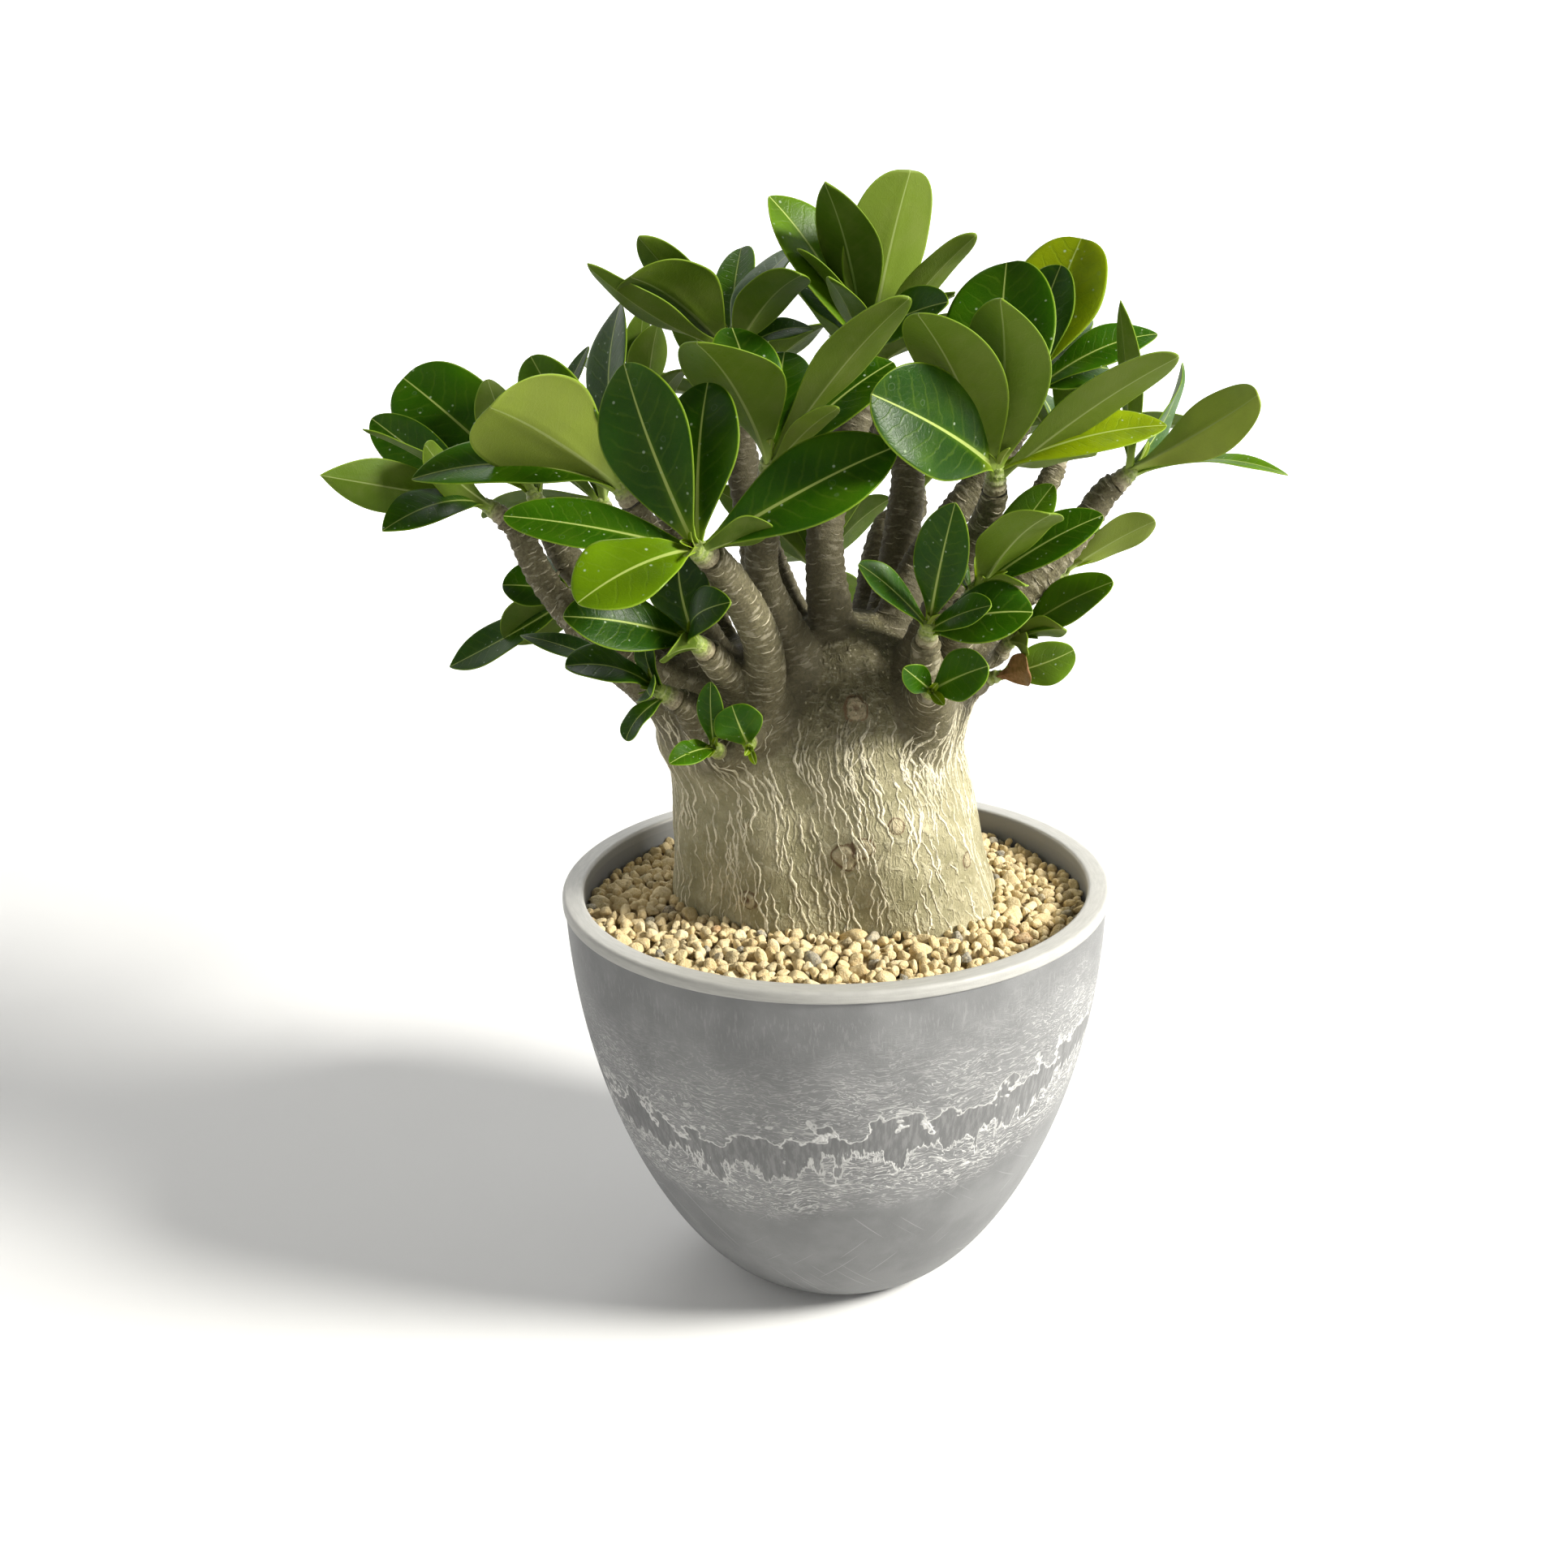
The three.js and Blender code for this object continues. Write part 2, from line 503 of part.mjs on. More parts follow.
function makeLeaf(shoot, [heading, rise, length, width, roll, arch, pointedness], index) {
  const along = direction(heading, rise);
  const normal = shoot.axis.clone().addScaledVector(along, -shoot.axis.dot(along)).normalize()
    .applyAxisAngle(along, radians(roll));
  const side = along.clone().cross(normal);
  const root = shoot.tip.clone().addScaledVector(shoot.axis, -STALK_SPACING * (1 + (index % 4)));
  const tip = shoot.tip.clone().addScaledVector(along, length);
  const rows = leafStations(length).map((t) => {
    const half = leafWidth(t, width, pointedness);
    const lift = arch * 4 * t * (1 - t);
    const centre = root.clone().lerp(tip, t).addScaledVector(normal, lift);
    const wave = EDGE_WAVE * Math.sin(WAVE_TURN * t + WAVE_SHIFT * index)
      * Math.min(1, half / FULL_WAVE_HALF_WIDTH);
    return (length >= SMALL_LEAF ? [-1, 0, 1] : [-1, 1]).map((place) => ({
      point: centre.clone()
        .addScaledVector(side, place * half)
        .addScaledVector(normal, Math.abs(place) * TROUGH * half + place * wave),
      normal,
    }));
  });
  return solid(blade(rows, LEAF_THICKNESS));
}

function makeRosette(shoot, leaves) {
  const start = shoot.tip.clone().addScaledVector(shoot.axis, -SHOOT_LENGTH);
  const radii = [shoot.radius, shoot.radius * SHOOT_TAPER];
  const stem = solid(tube([start, shoot.tip], radii, SHOOT_SIDES, SHOOT_LENGTH));
  return join([stem, ...leaves.map((leaf, index) => makeLeaf(shoot, leaf, index))]);
}

// ---------------------------------------------------------------- soil and grains

function soilHeight(radius) {
  return SOIL_LEVEL + SOIL_MOUND * (1 - (radius / RIM_INNER_RADIUS) ** 2);
}

// The soil fills the pot. Its top is a relief of coarse pumice grains: every other
// point of a jittered round grid is a grain's peak, between lower points.
function makeSoil() {
  const random = seededRandom(7);
  const wall = RIM_INNER_RADIUS - 2 * CLEARANCE;
  const heights = [FLOOR + CLEARANCE, ...[...BED_HEIGHTS].reverse()];
  const rings = heights.map((height) => soilRing(() => (
    [Math.min(innerRadius(height) - 2 * CLEARANCE, wall), 0, height])));
  for (let ring = 0; ring < GRAIN_RINGS; ring += 1) {
    const radius = wall - (ring * (wall - INNERMOST_GRAINS)) / (GRAIN_RINGS - 1);
    rings.push(soilRing((column) => {
      const peak = (ring + column) % 2 === 0;
      const loose = ring > 0 ? 1 : 0;
      return [
        radius + loose * GRAIN_JITTER * (random() - 0.5),
        loose * COLUMN_JITTER * (random() - 0.5),
        soilHeight(radius) + (peak
          ? GRAIN_RELIEF * THREE.MathUtils.lerp(GRAIN_LEAST, 1, random())
          : GAP_RELIEF * random()),
      ];
    }));
  }
  return solid(loft(rings, true)).subtract(makeTrunk(CLEARANCE));
}

function soilRing(place) {
  const ring = [];
  for (let column = 0; column < GRAIN_COLUMNS; column += 1) {
    const [radius, shift, height] = place(column);
    const angle = (2 * Math.PI * (column + shift)) / GRAIN_COLUMNS;
    ring.push(vector(radius * Math.cos(angle), radius * Math.sin(angle), height));
  }
  return ring;
}

// ---------------------------------------------------------------- the whole plant

const plant = new THREE.Group();

function addPiece(name, manifold, colour, roughness) {
  const material = new THREE.MeshStandardMaterial({ color: colour, roughness, metalness: 0 });
  const mesh = new THREE.Mesh(geometryOf(manifold), material);
  mesh.name = name;
  plant.add(mesh);
}

const endRadii = Object.fromEntries(BRANCHES.map(([name, , radii]) => [name, radii.at(-1)]));

function shootOf(name, { tip, grows }) {
  const radius = SHOOT_TO_BRANCH * endRadii[name];
  return { tip: vector(...tip), axis: direction(...grows), radius };
}

const rosettes = Object.entries(ROSETTES);
Object.entries(REAR_ROSETTES).forEach(([name, { tip, grows }], index) => {
  rosettes.push([name, { tip, grows, leaves: rearLeaves(grows, index + 1) }]);
});
const shoots = Object.fromEntries(rosettes.map(([name, rosette]) => (
  [name, shootOf(name, rosette)])));

addPiece('pot', makePot(), COLOURS.pot, 0.7);
addPiece('soil_and_grains', makeSoil(), COLOURS.grains, 0.95);
addPiece('caudex_and_branches', makePlantBody(shoots), COLOURS.bark, 0.75);
rosettes.forEach(([name, { leaves }]) => {
  addPiece(`rosette_${name}`, makeRosette(shoots[name], leaves), COLOURS.leaf, 0.4);
});

export default plant;
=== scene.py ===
import math

import bpy
import numpy as np
from mathutils import Matrix, Vector
from mathutils.bvhtree import BVHTree


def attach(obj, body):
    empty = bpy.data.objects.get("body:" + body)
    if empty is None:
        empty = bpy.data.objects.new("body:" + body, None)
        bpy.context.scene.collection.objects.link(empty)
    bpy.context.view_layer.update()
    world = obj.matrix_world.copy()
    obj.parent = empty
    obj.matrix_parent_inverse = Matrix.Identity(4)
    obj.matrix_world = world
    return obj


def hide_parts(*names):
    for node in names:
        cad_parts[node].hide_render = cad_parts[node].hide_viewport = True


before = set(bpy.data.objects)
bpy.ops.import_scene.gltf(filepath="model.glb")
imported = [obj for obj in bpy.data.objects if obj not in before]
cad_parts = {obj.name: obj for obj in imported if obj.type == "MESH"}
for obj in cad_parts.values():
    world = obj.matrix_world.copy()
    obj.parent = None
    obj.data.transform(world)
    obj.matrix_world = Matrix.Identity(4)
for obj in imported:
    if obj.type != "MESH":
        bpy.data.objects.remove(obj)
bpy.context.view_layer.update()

# A potted desert rose: the looks of each CAD node, built in millimetres and shown in metres.
# Headings are degrees round +Z from +X; rises are degrees above the horizontal.

MM = 0.001

# ------------------------------------------------------------------ sizes and tables

POT_HEIGHT = 115.0
RIM_RADIUS = 75.0
RIM_INNER_RADIUS = 69.1
RIM_BAND = 3.5
RIM_STEP = 0.7
FOOT_RADIUS = 28.0
BOWL_FULLNESS = 1.95
BOWL_ROUNDNESS = 1.47
WALL = 4.0
FLOOR = 5.0

SHOOT_LENGTH = 7.0
SHOOT_TO_BRANCH = 0.88
WIDEST_PLACE = 0.62
STALK_HALF_WIDTH = 1.1
TROUGH = 0.16
TRUNK_TURN = -8
TRUNK_RIBS = [(3, 0.035, 20), (5, 0.03, 100), (8, 0.018, 10)]

# Height, middle x and y, half width, half depth.
TRUNK_LEVELS = [
    (86, 1.5, 4, 33, 19), (98, 1.5, 3, 43, 27), (106, 1.5, 2, 45.5, 30), (118, 0, 1, 43.5, 29),
    (132, -2, 0, 41.8, 28), (146, -4, 0, 40.4, 26.5), (156, -7, 0, 40.5, 26), (166, -5, 1, 38, 24),
    (176, -1, 1, 29, 20), (184, 0, 1, 21, 15), (189, 1, 1, 12, 9),
]

# The places a branch runs through from the trunk out, and its radii there.
BRANCHES = {
    "far_left": ([(-28, -2, 158), (-42, -6, 170), (-57, -6, 182), (-74, 0, 198)], [13, 8.5, 6, 3.8, 3]),
    "left_mid": ([(-28, 5, 160), (-39, 6, 169), (-56, 8, 186), (-70, 9, 204)], [10, 6.5, 5, 4, 3.2]),
    "left_top": ([(-20, -3, 164), (-33, -5, 182), (-41, -12, 204)], [9, 6, 4.2, 3.4]),
    "inner_left": ([(-20, 8, 160), (-30, 12, 173), (-36, 22, 193)], [9, 6.5, 5, 3.4]),
    "front_left": ([(-14, -10, 158), (-17, -20, 168), (-17, -36, 192)], [7, 5.5, 4.4, 3.6]),
    "low_left": ([(-20, -16, 165), (-24, -26, 177)], [6, 4, 3.2]),
    "side_left": ([(-28, -14, 160), (-35, -22, 169)], [8, 4.6, 3.2]),
    "back_left_low": ([(-34, 6, 168), (-50, 12, 180)], [6.5, 4, 3.2]),
    "top_left": ([(-8, 2, 165), (-9, 4, 180), (-16, 6, 201), (-22, 6, 224)], [10, 6.8, 5.2, 4.2, 3.4]),
    "middle": ([(-6, -10, 162), (-10, -14, 184), (-17, -22, 206)], [8, 6, 4.6, 3.6]),
    "top": ([(2, -4, 160), (1, -6, 181), (-1, -4, 213)], [10, 6.6, 4.8, 3.6]),
    "right_top": ([(14, 2, 162), (17, 2, 184), (23, 6, 200)], [10, 6.4, 4.6, 3.6]),
    "right": ([(20, -10, 162), (23, -13, 183), (32, -18, 203)], [7, 5, 3.8, 3.3]),
    "far_right": ([(24, 0, 162), (31, -3, 178), (46, -2, 192), (62, 2, 206)], [11, 7.5, 5.2, 4.2, 3.2]),
    "right_bud": ([(36, 0, 182), (50, 8, 190)], [4.4, 3.2, 2.8]),
    "right_mid": ([(24, -12, 168), (31, -23, 186)], [6.5, 4.4, 3.3]),
    "right_low": ([(22, 0, 168), (34, 0, 180)], [7, 4.2, 3]),
    "right_twig": ([(20, -2, 158), (31, -2, 167)], [6, 3.6, 2.6]),
    "front_right": ([(22, -14, 158), (26, -24, 172)], [7, 4.2, 3.2]),
    "trunk_right": ([(22, -14, 172), (24, -25, 175)], [4.6, 3.2, 2.6]),
    "trunk_left": ([(-22, -12, 156), (-27, -19, 160)], [4.6, 3.2, 2.6]),
    "trunk_leaf": ([(-18, -12, 166), (-21, -22, 169)], [4.4, 3, 2.4]),
    "rear_left": ([(-24, 8, 160), (-38, 26, 182), (-52, 42, 204)], [10, 6.4, 4.8, 3.4]),
    "rear_mid_left": ([(-14, 10, 160), (-18, 28, 184), (-22, 42, 212)], [9, 6, 4.6, 3.4]),
    "rear_mid": ([(6, 10, 160), (12, 28, 184), (17, 42, 204)], [9, 6, 4.6, 3.4]),
    "rear_right": ([(20, 8, 160), (34, 24, 182), (50, 36, 200)], [9, 6, 4.6, 3.4]),
    "rear_low": ([(0, 14, 158), (-2, 34, 176)], [8.5, 5.4, 3.4]),
    "rear_high": ([(10, 6, 164), (18, 20, 196), (21, 31, 226)], [8.5, 5.6, 4.4, 3.4]),
}

# The shoot's tip, its heading and rise, and its leaves: heading, rise, length, width, roll, arch,
# pointedness and tone, where -1 is dry. Some tones are set lighter or darker to paint in how the light
# falls on that leaf.
ROSETTES = {
    "front_left": ((-31, -62, 221), (-120, 30), [
        (147, 66, 44, 23, -5, 2, 0.6, 0.15), (79, 64, 39, 21, 5, 2, 0.55, 0.12),
        (6, 25, 52, 21, 5, 2, 0.8, 0.2), (177, 10, 44, 14, 20, 2, 0.6, 0.28),
        (-142, -14, 32, 20, -5, 3, 0.5, 0.66), (0, 15, 19, 13, -90, 0, 0.5, 0.12),
    ]),
    "low_left": ((-33, -46, 195), (-115, 35), [
        (140, 78, 22, 17, -5, 2, 0.5, 0), (-148, 18, 35, 16, 0, 3, 0.6, 0.02),
        (-60, 35, 23, 13, -5, 5, 0.6, 0.02), (-105, 5, 20, 9, 35, 1, 0.6, 0.1),
    ]),
    "side_left": ((-44, -32, 179), (-145, 35), [
        (-152, 23, 25, 15, 0, 3, 0.5, 0.1), (155, 15, 41, 9, 45, 2, 0.7, 0.05),
        (135, 75, 13, 8, 0, 2, 0.6, 0.1), (-145, -50, 15, 8, -10, 2, 0.5, 0.15),
        (-90, 10, 16, 8, 0, 2, 0.5, 0.1),
    ]),
    "back_left_low": ((-70, 22, 192), (180, 40), [
        (174, -30, 44, 15, -30, -1, 0.8, 0.1), (-172, 8, 20.1, 15, -50, 1, 0.5, 0.15),
        (109, 19, 29, 18, -10, 2, 0.5, 0.1), (167, -34, 26, 17, 65, 2, 0.5, 0.1),
    ]),
    "far_left": ((-90, 0, 221.1), (-170, 40), [
        (-151, 15, 43, 13.5, 60, 0, 1, 0.35), (-166, 36, 35, 9, -20, 2, 0.9, 0.3),
        (155, 31, 39, 14, 0, 2, 0.6, 0.2), (-120, 40, 27, 12, 30, 2, 0.6, 0.35),
        (-122, -1, 36, 13, -70, 4, 0.8, 0.25),
    ]),
    "left_mid": ((-79, 12, 222), (165, 65), [
        (155, 36, 48, 26, -40, 3, 0.45, 0.3), (171, 70, 30.4, 14, -5, 1, 0.5, 0.35),
        (40, 60, 41, 9, 20, 2, 0.6, 0.1), (100, 35, 34, 15, 0, 3, 0.5, 0.3),
    ]),
    "left_top": ((-53, -18, 229), (-150, 55), [
        (-129, 31, 46, 30, 25, 3, 0.45, 0.78), (-156, 58, 37, 18, 0, 2, 0.45, 0.6),
        (-161, 5, 50, 18, -20, 6, 0.7, 0.3), (85, 68, 45, 18, -10, 4, 0.7, 0.1),
    ]),
    "inner_left": ((-50, 28, 237), (115, 75), [
        (80, 85, 29, 10, 10, 1, 0.6, 0.35), (0, 80, 26, 14, 0, 1, 0.5, 0.35),
        (-50, 40, 24, 10, 0, 2, 0.6, 0.2), (135, 35, 28, 12, 0, 2, 0.5, 0.3),
    ]),
    "top_left": ((-25, 4, 260), (-135, 80), [
        (-150, 30, 43, 12, 25, -3, 0.8, 0.45), (-135, 32, 36, 25, 30, 3, 0.5, 0.4),
        (-148, 49, 36, 13, 40, 1, 0.7, 0.35), (-46, 34, 33, 16, -30, 3, 0.5, 0.35),
        (42, 44, 33, 19, -10, 2, 0.6, 0.3), (55, 20, 23, 8, 5, 1, 0.6, 0.4),
        (85, 36, 37, 12, -15, 1, 0.4, 0.4), (25, 5, 24, 8, 25, 3, 0.6, 0.2),
    ]),
    "middle": ((-14, -34, 237), (-90, 70), [
        (-119, 46, 42, 25, 25, 3, 0.7, 0.4), (-25, 47, 52, 15, -60, 2, 0.5, 0.5),
        (30, 30, 40, 18, 5, 2, 0.6, 0.1), (-60, 25, 36, 7, -35, 2, 0.6, 0.6),
        (113, 52, 36, 18, 15, 1, 0.45, 0.2), (83, 37, 36, 17, 0, 1, 0.5, 0.25),
    ]),
    "top": ((10, 5, 258), (-90, 85), [
        (-114, 61, 47, 17, 0, 3, 1, 0.05), (-171, 58, 44, 20, -40, 3, 0.7, 0.62),
        (-42, 72, 45, 25, -30, 1, 0.4, 0.6), (-28, 43, 41, 11, -35, 2, 0.6, 0.55),
        (-140, 50, 33, 10, 0, 2, 0.5, 0.4), (140, 40, 28, 14, -10, 2, 0.5, 0.2),
        (-50, 25, 36, 8, -15, 2, 0.8, 0.3), (-105, 30, 40, 10, -20, 2, 0.9, 0.35),
        (-60, 20, 39, 14, 60, 3, 0.6, 0.3),
    ]),
    "right_top": ((52, 12, 247), (0, 80), [
        (39, 63, 40, 25, 5, 1, 0.4, 0.95), (31, 4, 27, 14, 35, 3, 0.5, 0.2),
        (7, 75, 30.4, 18, 30, 2, 0.5, 0.2), (7, 19, 36, 12, 40, 5, 0.7, 0.3),
        (50, 30, 30, 14, 0, 2, 0.5, 0.3),
    ]),
    "right": ((40, -37, 234), (-85, 65), [
        (-137, 27, 46, 25, -55, 3, 0.5, 0), (-129, 52, 49, 24, 45, 2, 0.6, 0.45),
        (-93, 60, 47, 22, 0, 3, 0.8, 0.5), (-17, 33, 49, 13, -80, 2, 0.6, 0.6),
        (3, 12, 41, 13, 10, 3, 0.7, 0.9), (35, 0, 31, 12, -65, 2, 0.5, 0.5),
        (82, 56, 54, 28, -20, 2, 0.45, 0.2),
    ]),
    "far_right": ((80, 5, 226), (-10, 42), [
        (-42, 31, 40, 15, -40, 2, 0.45, 1), (-119, 70, 46, 11, 22, 1, 1, 0.45),
        (-16, -1, 38, 7, 20, 4, 0.8, 0.6), (50, 45, 33, 15, 40, 2, 0.6, 0.3),
        (150, 62, 26, 8, 20, 1, 0.8, 0.5),
    ]),
    "right_bud": ((63.7, 12, 198.2), (0, 40), [
        (-3, 30, 25.8, 11, -55, 1, 0.45, 0.75), (25, 55, 17, 8, 0, 1, 0.5, 0.6),
    ]),
    "right_mid": ((36, -36, 205), (-50, 60), [
        (-57, 41, 34, 18, 0, 2, 0.45, 0.45), (-2, 30, 33.8, 14, 5, 2, 0.6, 0.2),
        (19, 50, 30, 11, 0, 1, 0.6, 0.5), (160, 50, 19, 9, 0, 1, 0.6, 0.3),
        (-45, 10, 15, 8, -30, 1, 0.5, 0.6),
    ]),
    "right_low": ((49, 0, 183), (-45, 40), [
        (-29, 33, 31, 13, 0, 2, 0.5, 0.5), (-47, 17, 17, 9, -40, 1, 0.5, 0.55),
        (-85, 5, 18, 6, -50, 1, 0.5, 0.65),
    ]),
    "right_twig": ((45.1, -4, 173.2), (-20, 20), [
        (-62, 20, 14, 9, 0, 1, 0.4, -1), (-15, 21, 20, 13, 10, 1, 0.4, 0.65),
    ]),
    "front_right": ((24, -40, 197), (-80, 60), [
        (-69, 66, 34, 14, -5, 1, 0.7, 0.1), (-160, 42, 24, 9, -10, 1, 0.5, 0.3),
        (-45, 21, 20, 9, 30, 1, 0.5, 0.3), (-24, 11, 26, 17, 20, 3, 0.6, 0.2),
    ]),
    "trunk_right": ((24.2, -43, 180.5), (-90, 18), [
        (-127, 36, 14, 7, 0, 1, 0.6, 0.3), (-38, 29, 18, 13, -20, 1, 0.5, 0.35),
    ]),
    "trunk_left": ((-30, -34, 164), (-105, 30), [
        (-89, 80, 18, 7, 0, 1, 0.6, 0.3), (-128, 1, 16, 7, 0, 2, 0.6, 0.35),
        (-130, 10, 12, 5, 0, 1, 0.6, 0.5),
    ]),
    "trunk_leaf": ((-20.9, -37, 164.8), (-90, 0), [
        (-151, 69, 12, 12.5, 0, 1, 0.35, 0.3),
    ]),
}

REAR_ROSETTES = {
    "rear_left": ((-66, 56, 212), (122, 58)),
    "rear_mid_left": ((-26, 56, 238), (110, 65)),
    "rear_mid": ((26, 62, 214), (80, 55)),
    "rear_right": ((66, 45, 226), (40, 60)),
    "rear_low": ((-4, 60, 190), (95, 25)),
    "rear_high": ((11, 46, 248), (80, 75)),
}

# ------------------------------------------------------------------ helpers


def smoothstep(low, high, value):
    t = np.clip((np.asarray(value, float) - low) / (high - low), 0, 1)
    return t * t * (3 - 2 * t)


def direction(heading, rise):
    turn, lift = math.radians(heading), math.radians(rise)
    level = math.cos(lift)
    return np.array([level * math.cos(turn), level * math.sin(turn), math.sin(lift)])


def unit(v):
    return v / np.linalg.norm(v)


def units(rows):
    return rows / np.maximum(np.linalg.norm(rows, axis=1, keepdims=True), 1e-12)


def turned(v, axis, degrees):
    a = math.radians(degrees)
    kept = axis * np.dot(axis, v) * (1 - math.cos(a))
    return v * math.cos(a) + np.cross(axis, v) * math.sin(a) + kept


def splayed(grows, turn, spread):
    """Heading and rise of a leaf that leans spread degrees away from how its shoot grows."""
    axis = direction(*grows)
    across = turned(direction(grows[0], grows[1] - 90), axis, turn)
    way = axis * math.cos(math.radians(spread)) + across * math.sin(math.radians(spread))
    return math.degrees(math.atan2(way[1], way[0])), math.degrees(math.asin(way[2]))


def noise3(points, scale, seed):
    """Smooth seeded noise from -1 to 1 at n x 3 points."""
    table = np.random.default_rng(seed).uniform(-1, 1, (32, 32, 32))
    p = np.asarray(points) * scale + 400.0
    cell = np.floor(p).astype(int)
    f = p - cell
    f = f * f * (3 - 2 * f)
    total = 0.0
    for corner in np.ndindex(2, 2, 2):
        x, y, z = np.where(corner, f, 1 - f).T
        total = total + x * y * z * table[tuple(((cell + corner) % 32).T)]
    return total


def mesh_object(name, points, faces, materials, attributes=None, slots=None):
    """A smooth mesh from points in mm. faces is a list of index arrays, a row for each face."""
    mesh = bpy.data.meshes.new(name)
    points = np.asarray(points, float)
    mesh.vertices.add(len(points))
    mesh.vertices.foreach_set("co", (points * MM).astype(np.float32).ravel())
    loops = np.concatenate([f.ravel() for f in faces]).astype(np.int32)
    totals = np.concatenate([np.full(len(f), f.shape[1]) for f in faces])
    mesh.loops.add(len(loops))
    mesh.loops.foreach_set("vertex_index", loops)
    mesh.polygons.add(len(totals))
    starts = np.concatenate([[0], np.cumsum(totals)[:-1]]).astype(np.int32)
    mesh.polygons.foreach_set("loop_start", starts)
    mesh.update(calc_edges=True)
    for material in materials:
        mesh.materials.append(material)
    if slots is not None:
        mesh.polygons.foreach_set("material_index", np.asarray(slots, np.int32))
    for label, values in (attributes or {}).items():
        values = np.asarray(values, np.float32)
        kind, field = ("FLOAT", "value") if values.ndim == 1 else ("FLOAT_VECTOR", "vector")
        mesh.attributes.new(label, kind, "POINT").data.foreach_set(field, values.ravel())
    mesh.shade_smooth()
    piece = bpy.data.objects.new(name, mesh)
    bpy.context.scene.collection.objects.link(piece)
    return piece


def read_mesh(mesh):
    """Points in mm, and the triangles and quads as index arrays."""

    def column(rows, field, kind, width=1):
        values = np.empty(len(rows) * width, kind)
        rows.foreach_get(field, values)
        return values

    points = column(mesh.vertices, "co", np.float32, 3)
    totals = column(mesh.polygons, "loop_total", np.int32)
    starts = column(mesh.polygons, "loop_start", np.int32)
    loops = column(mesh.loops, "vertex_index", np.int32)
    faces = []
    for sides in (3, 4):
        first = starts[totals == sides]
        if len(first):
            faces.append(loops[first[:, None] + np.arange(sides)])
    return points.reshape(-1, 3).astype(float) / MM, faces


def vertex_normals(points, faces):
    normals = np.zeros_like(points)
    for f in faces:
        a, b, c = points[f[:, 0]], points[f[:, 1]], points[f[:, 2]]
        n = np.cross(b - a, c - a)
        if f.shape[1] == 4:
            n = np.cross(c - a, points[f[:, 3]] - b)
        for k in range(f.shape[1]):
            np.add.at(normals, f[:, k], n)
    return units(normals)


def evaluated(piece):
    graph = bpy.context.evaluated_depsgraph_get()
    return bpy.data.meshes.new_from_object(piece.evaluated_get(graph))


def discard(piece):
    mesh = piece.data
    bpy.data.objects.remove(piece)
    bpy.data.meshes.remove(mesh)


def ring_faces(rings, sides, closed=True):
    """Quads between rings of points that follow each other."""
    ring = np.arange(rings - 1)[:, None] * sides
    side = np.arange(sides if closed else sides - 1)[None, :]
    after = (side + 1) % sides
    next_ring = ring + sides
    quads = [ring + side, ring + after, next_ring + after, next_ring + side]
    return np.stack(quads, -1).reshape(-1, 4)


def cap_faces(count, sides):
    """Triangles that close the first and last ring of count points, round the two points after them."""
    first = np.arange(sides)
    after = (first + 1) % sides
    last = count - sides
    return [
        np.stack([np.full(sides, count), after, first], 1),
        np.stack([np.full(sides, count + 1), last + first, last + after], 1),
    ]


def lengths_along(spine):
    """How far along a spine each of its points lies."""
    return np.concatenate([[0], np.cumsum(np.linalg.norm(np.diff(spine, axis=0), axis=1))])


def catmull(points, per_span):
    """Points on the centripetal curve that the CAD's branches follow."""
    p = [np.array(q, float) for q in points]
    p = [2 * p[0] - p[1], *p, 2 * p[-1] - p[-2]]
    out = []
    for i in range(1, len(p) - 2):
        a, b, c = (max(np.sum((p[i + k] - p[i + k - 1]) ** 2) ** 0.25, 1e-4) for k in range(3))
        t1 = ((p[i] - p[i - 1]) / a - (p[i + 1] - p[i - 1]) / (a + b) + (p[i + 1] - p[i]) / b) * b
        t2 = ((p[i + 1] - p[i]) / b - (p[i + 2] - p[i]) / (b + c) + (p[i + 2] - p[i + 1]) / c) * b
        for step in range(per_span):
            t = step / per_span
            out.append(
                p[i] + t1 * t
                + (-3 * p[i] + 3 * p[i + 1] - 2 * t1 - t2) * t * t
                + (2 * p[i] - 2 * p[i + 1] + t1 + t2) * t ** 3
            )
    out.append(p[-2])
    return np.array(out)


# ------------------------------------------------------------------ trunk and branches

PER_SPAN = 8
TRUNK_SIDES, LIMB_SIDES = 64, 16
BODY_VOXELS = [(1.5, 4), (0.85, 2)]
FINE_BARK = (101, 172)


def smooth_levels():
    """The trunk's levels with gentle curves between them."""
    table = np.array(TRUNK_LEVELS, float)
    z = table[:, 0]
    fine = np.linspace(z[0], z[-1], 211)
    columns = [fine]
    for k in range(1, table.shape[1]):
        value = table[:, k]
        slope = np.gradient(value, z)
        i = np.clip(np.searchsorted(z, fine, side="right") - 1, 0, len(z) - 2)
        gap = z[i + 1] - z[i]
        t = (fine - z[i]) / gap
        columns.append(
            (2 * t**3 - 3 * t**2 + 1) * value[i] + (t**3 - 2 * t**2 + t) * gap * slope[i]
            + (3 * t**2 - 2 * t**3) * value[i + 1] + (t**3 - t**2) * gap * slope[i + 1]
        )
    return np.stack(columns, 1)


TRUNK = smooth_levels()
TRUNK_LOW, TRUNK_TOP = TRUNK[0, 0], TRUNK[-1, 0]


def swell(angle, z):
    """What the trunk's soft ribs make of its outline, as a share of it."""
    ribs = (depth * np.cos(count * angle + math.radians(phase) + z * 0.02)
            for count, depth, phase in TRUNK_RIBS)
    return sum(ribs, 1.0)


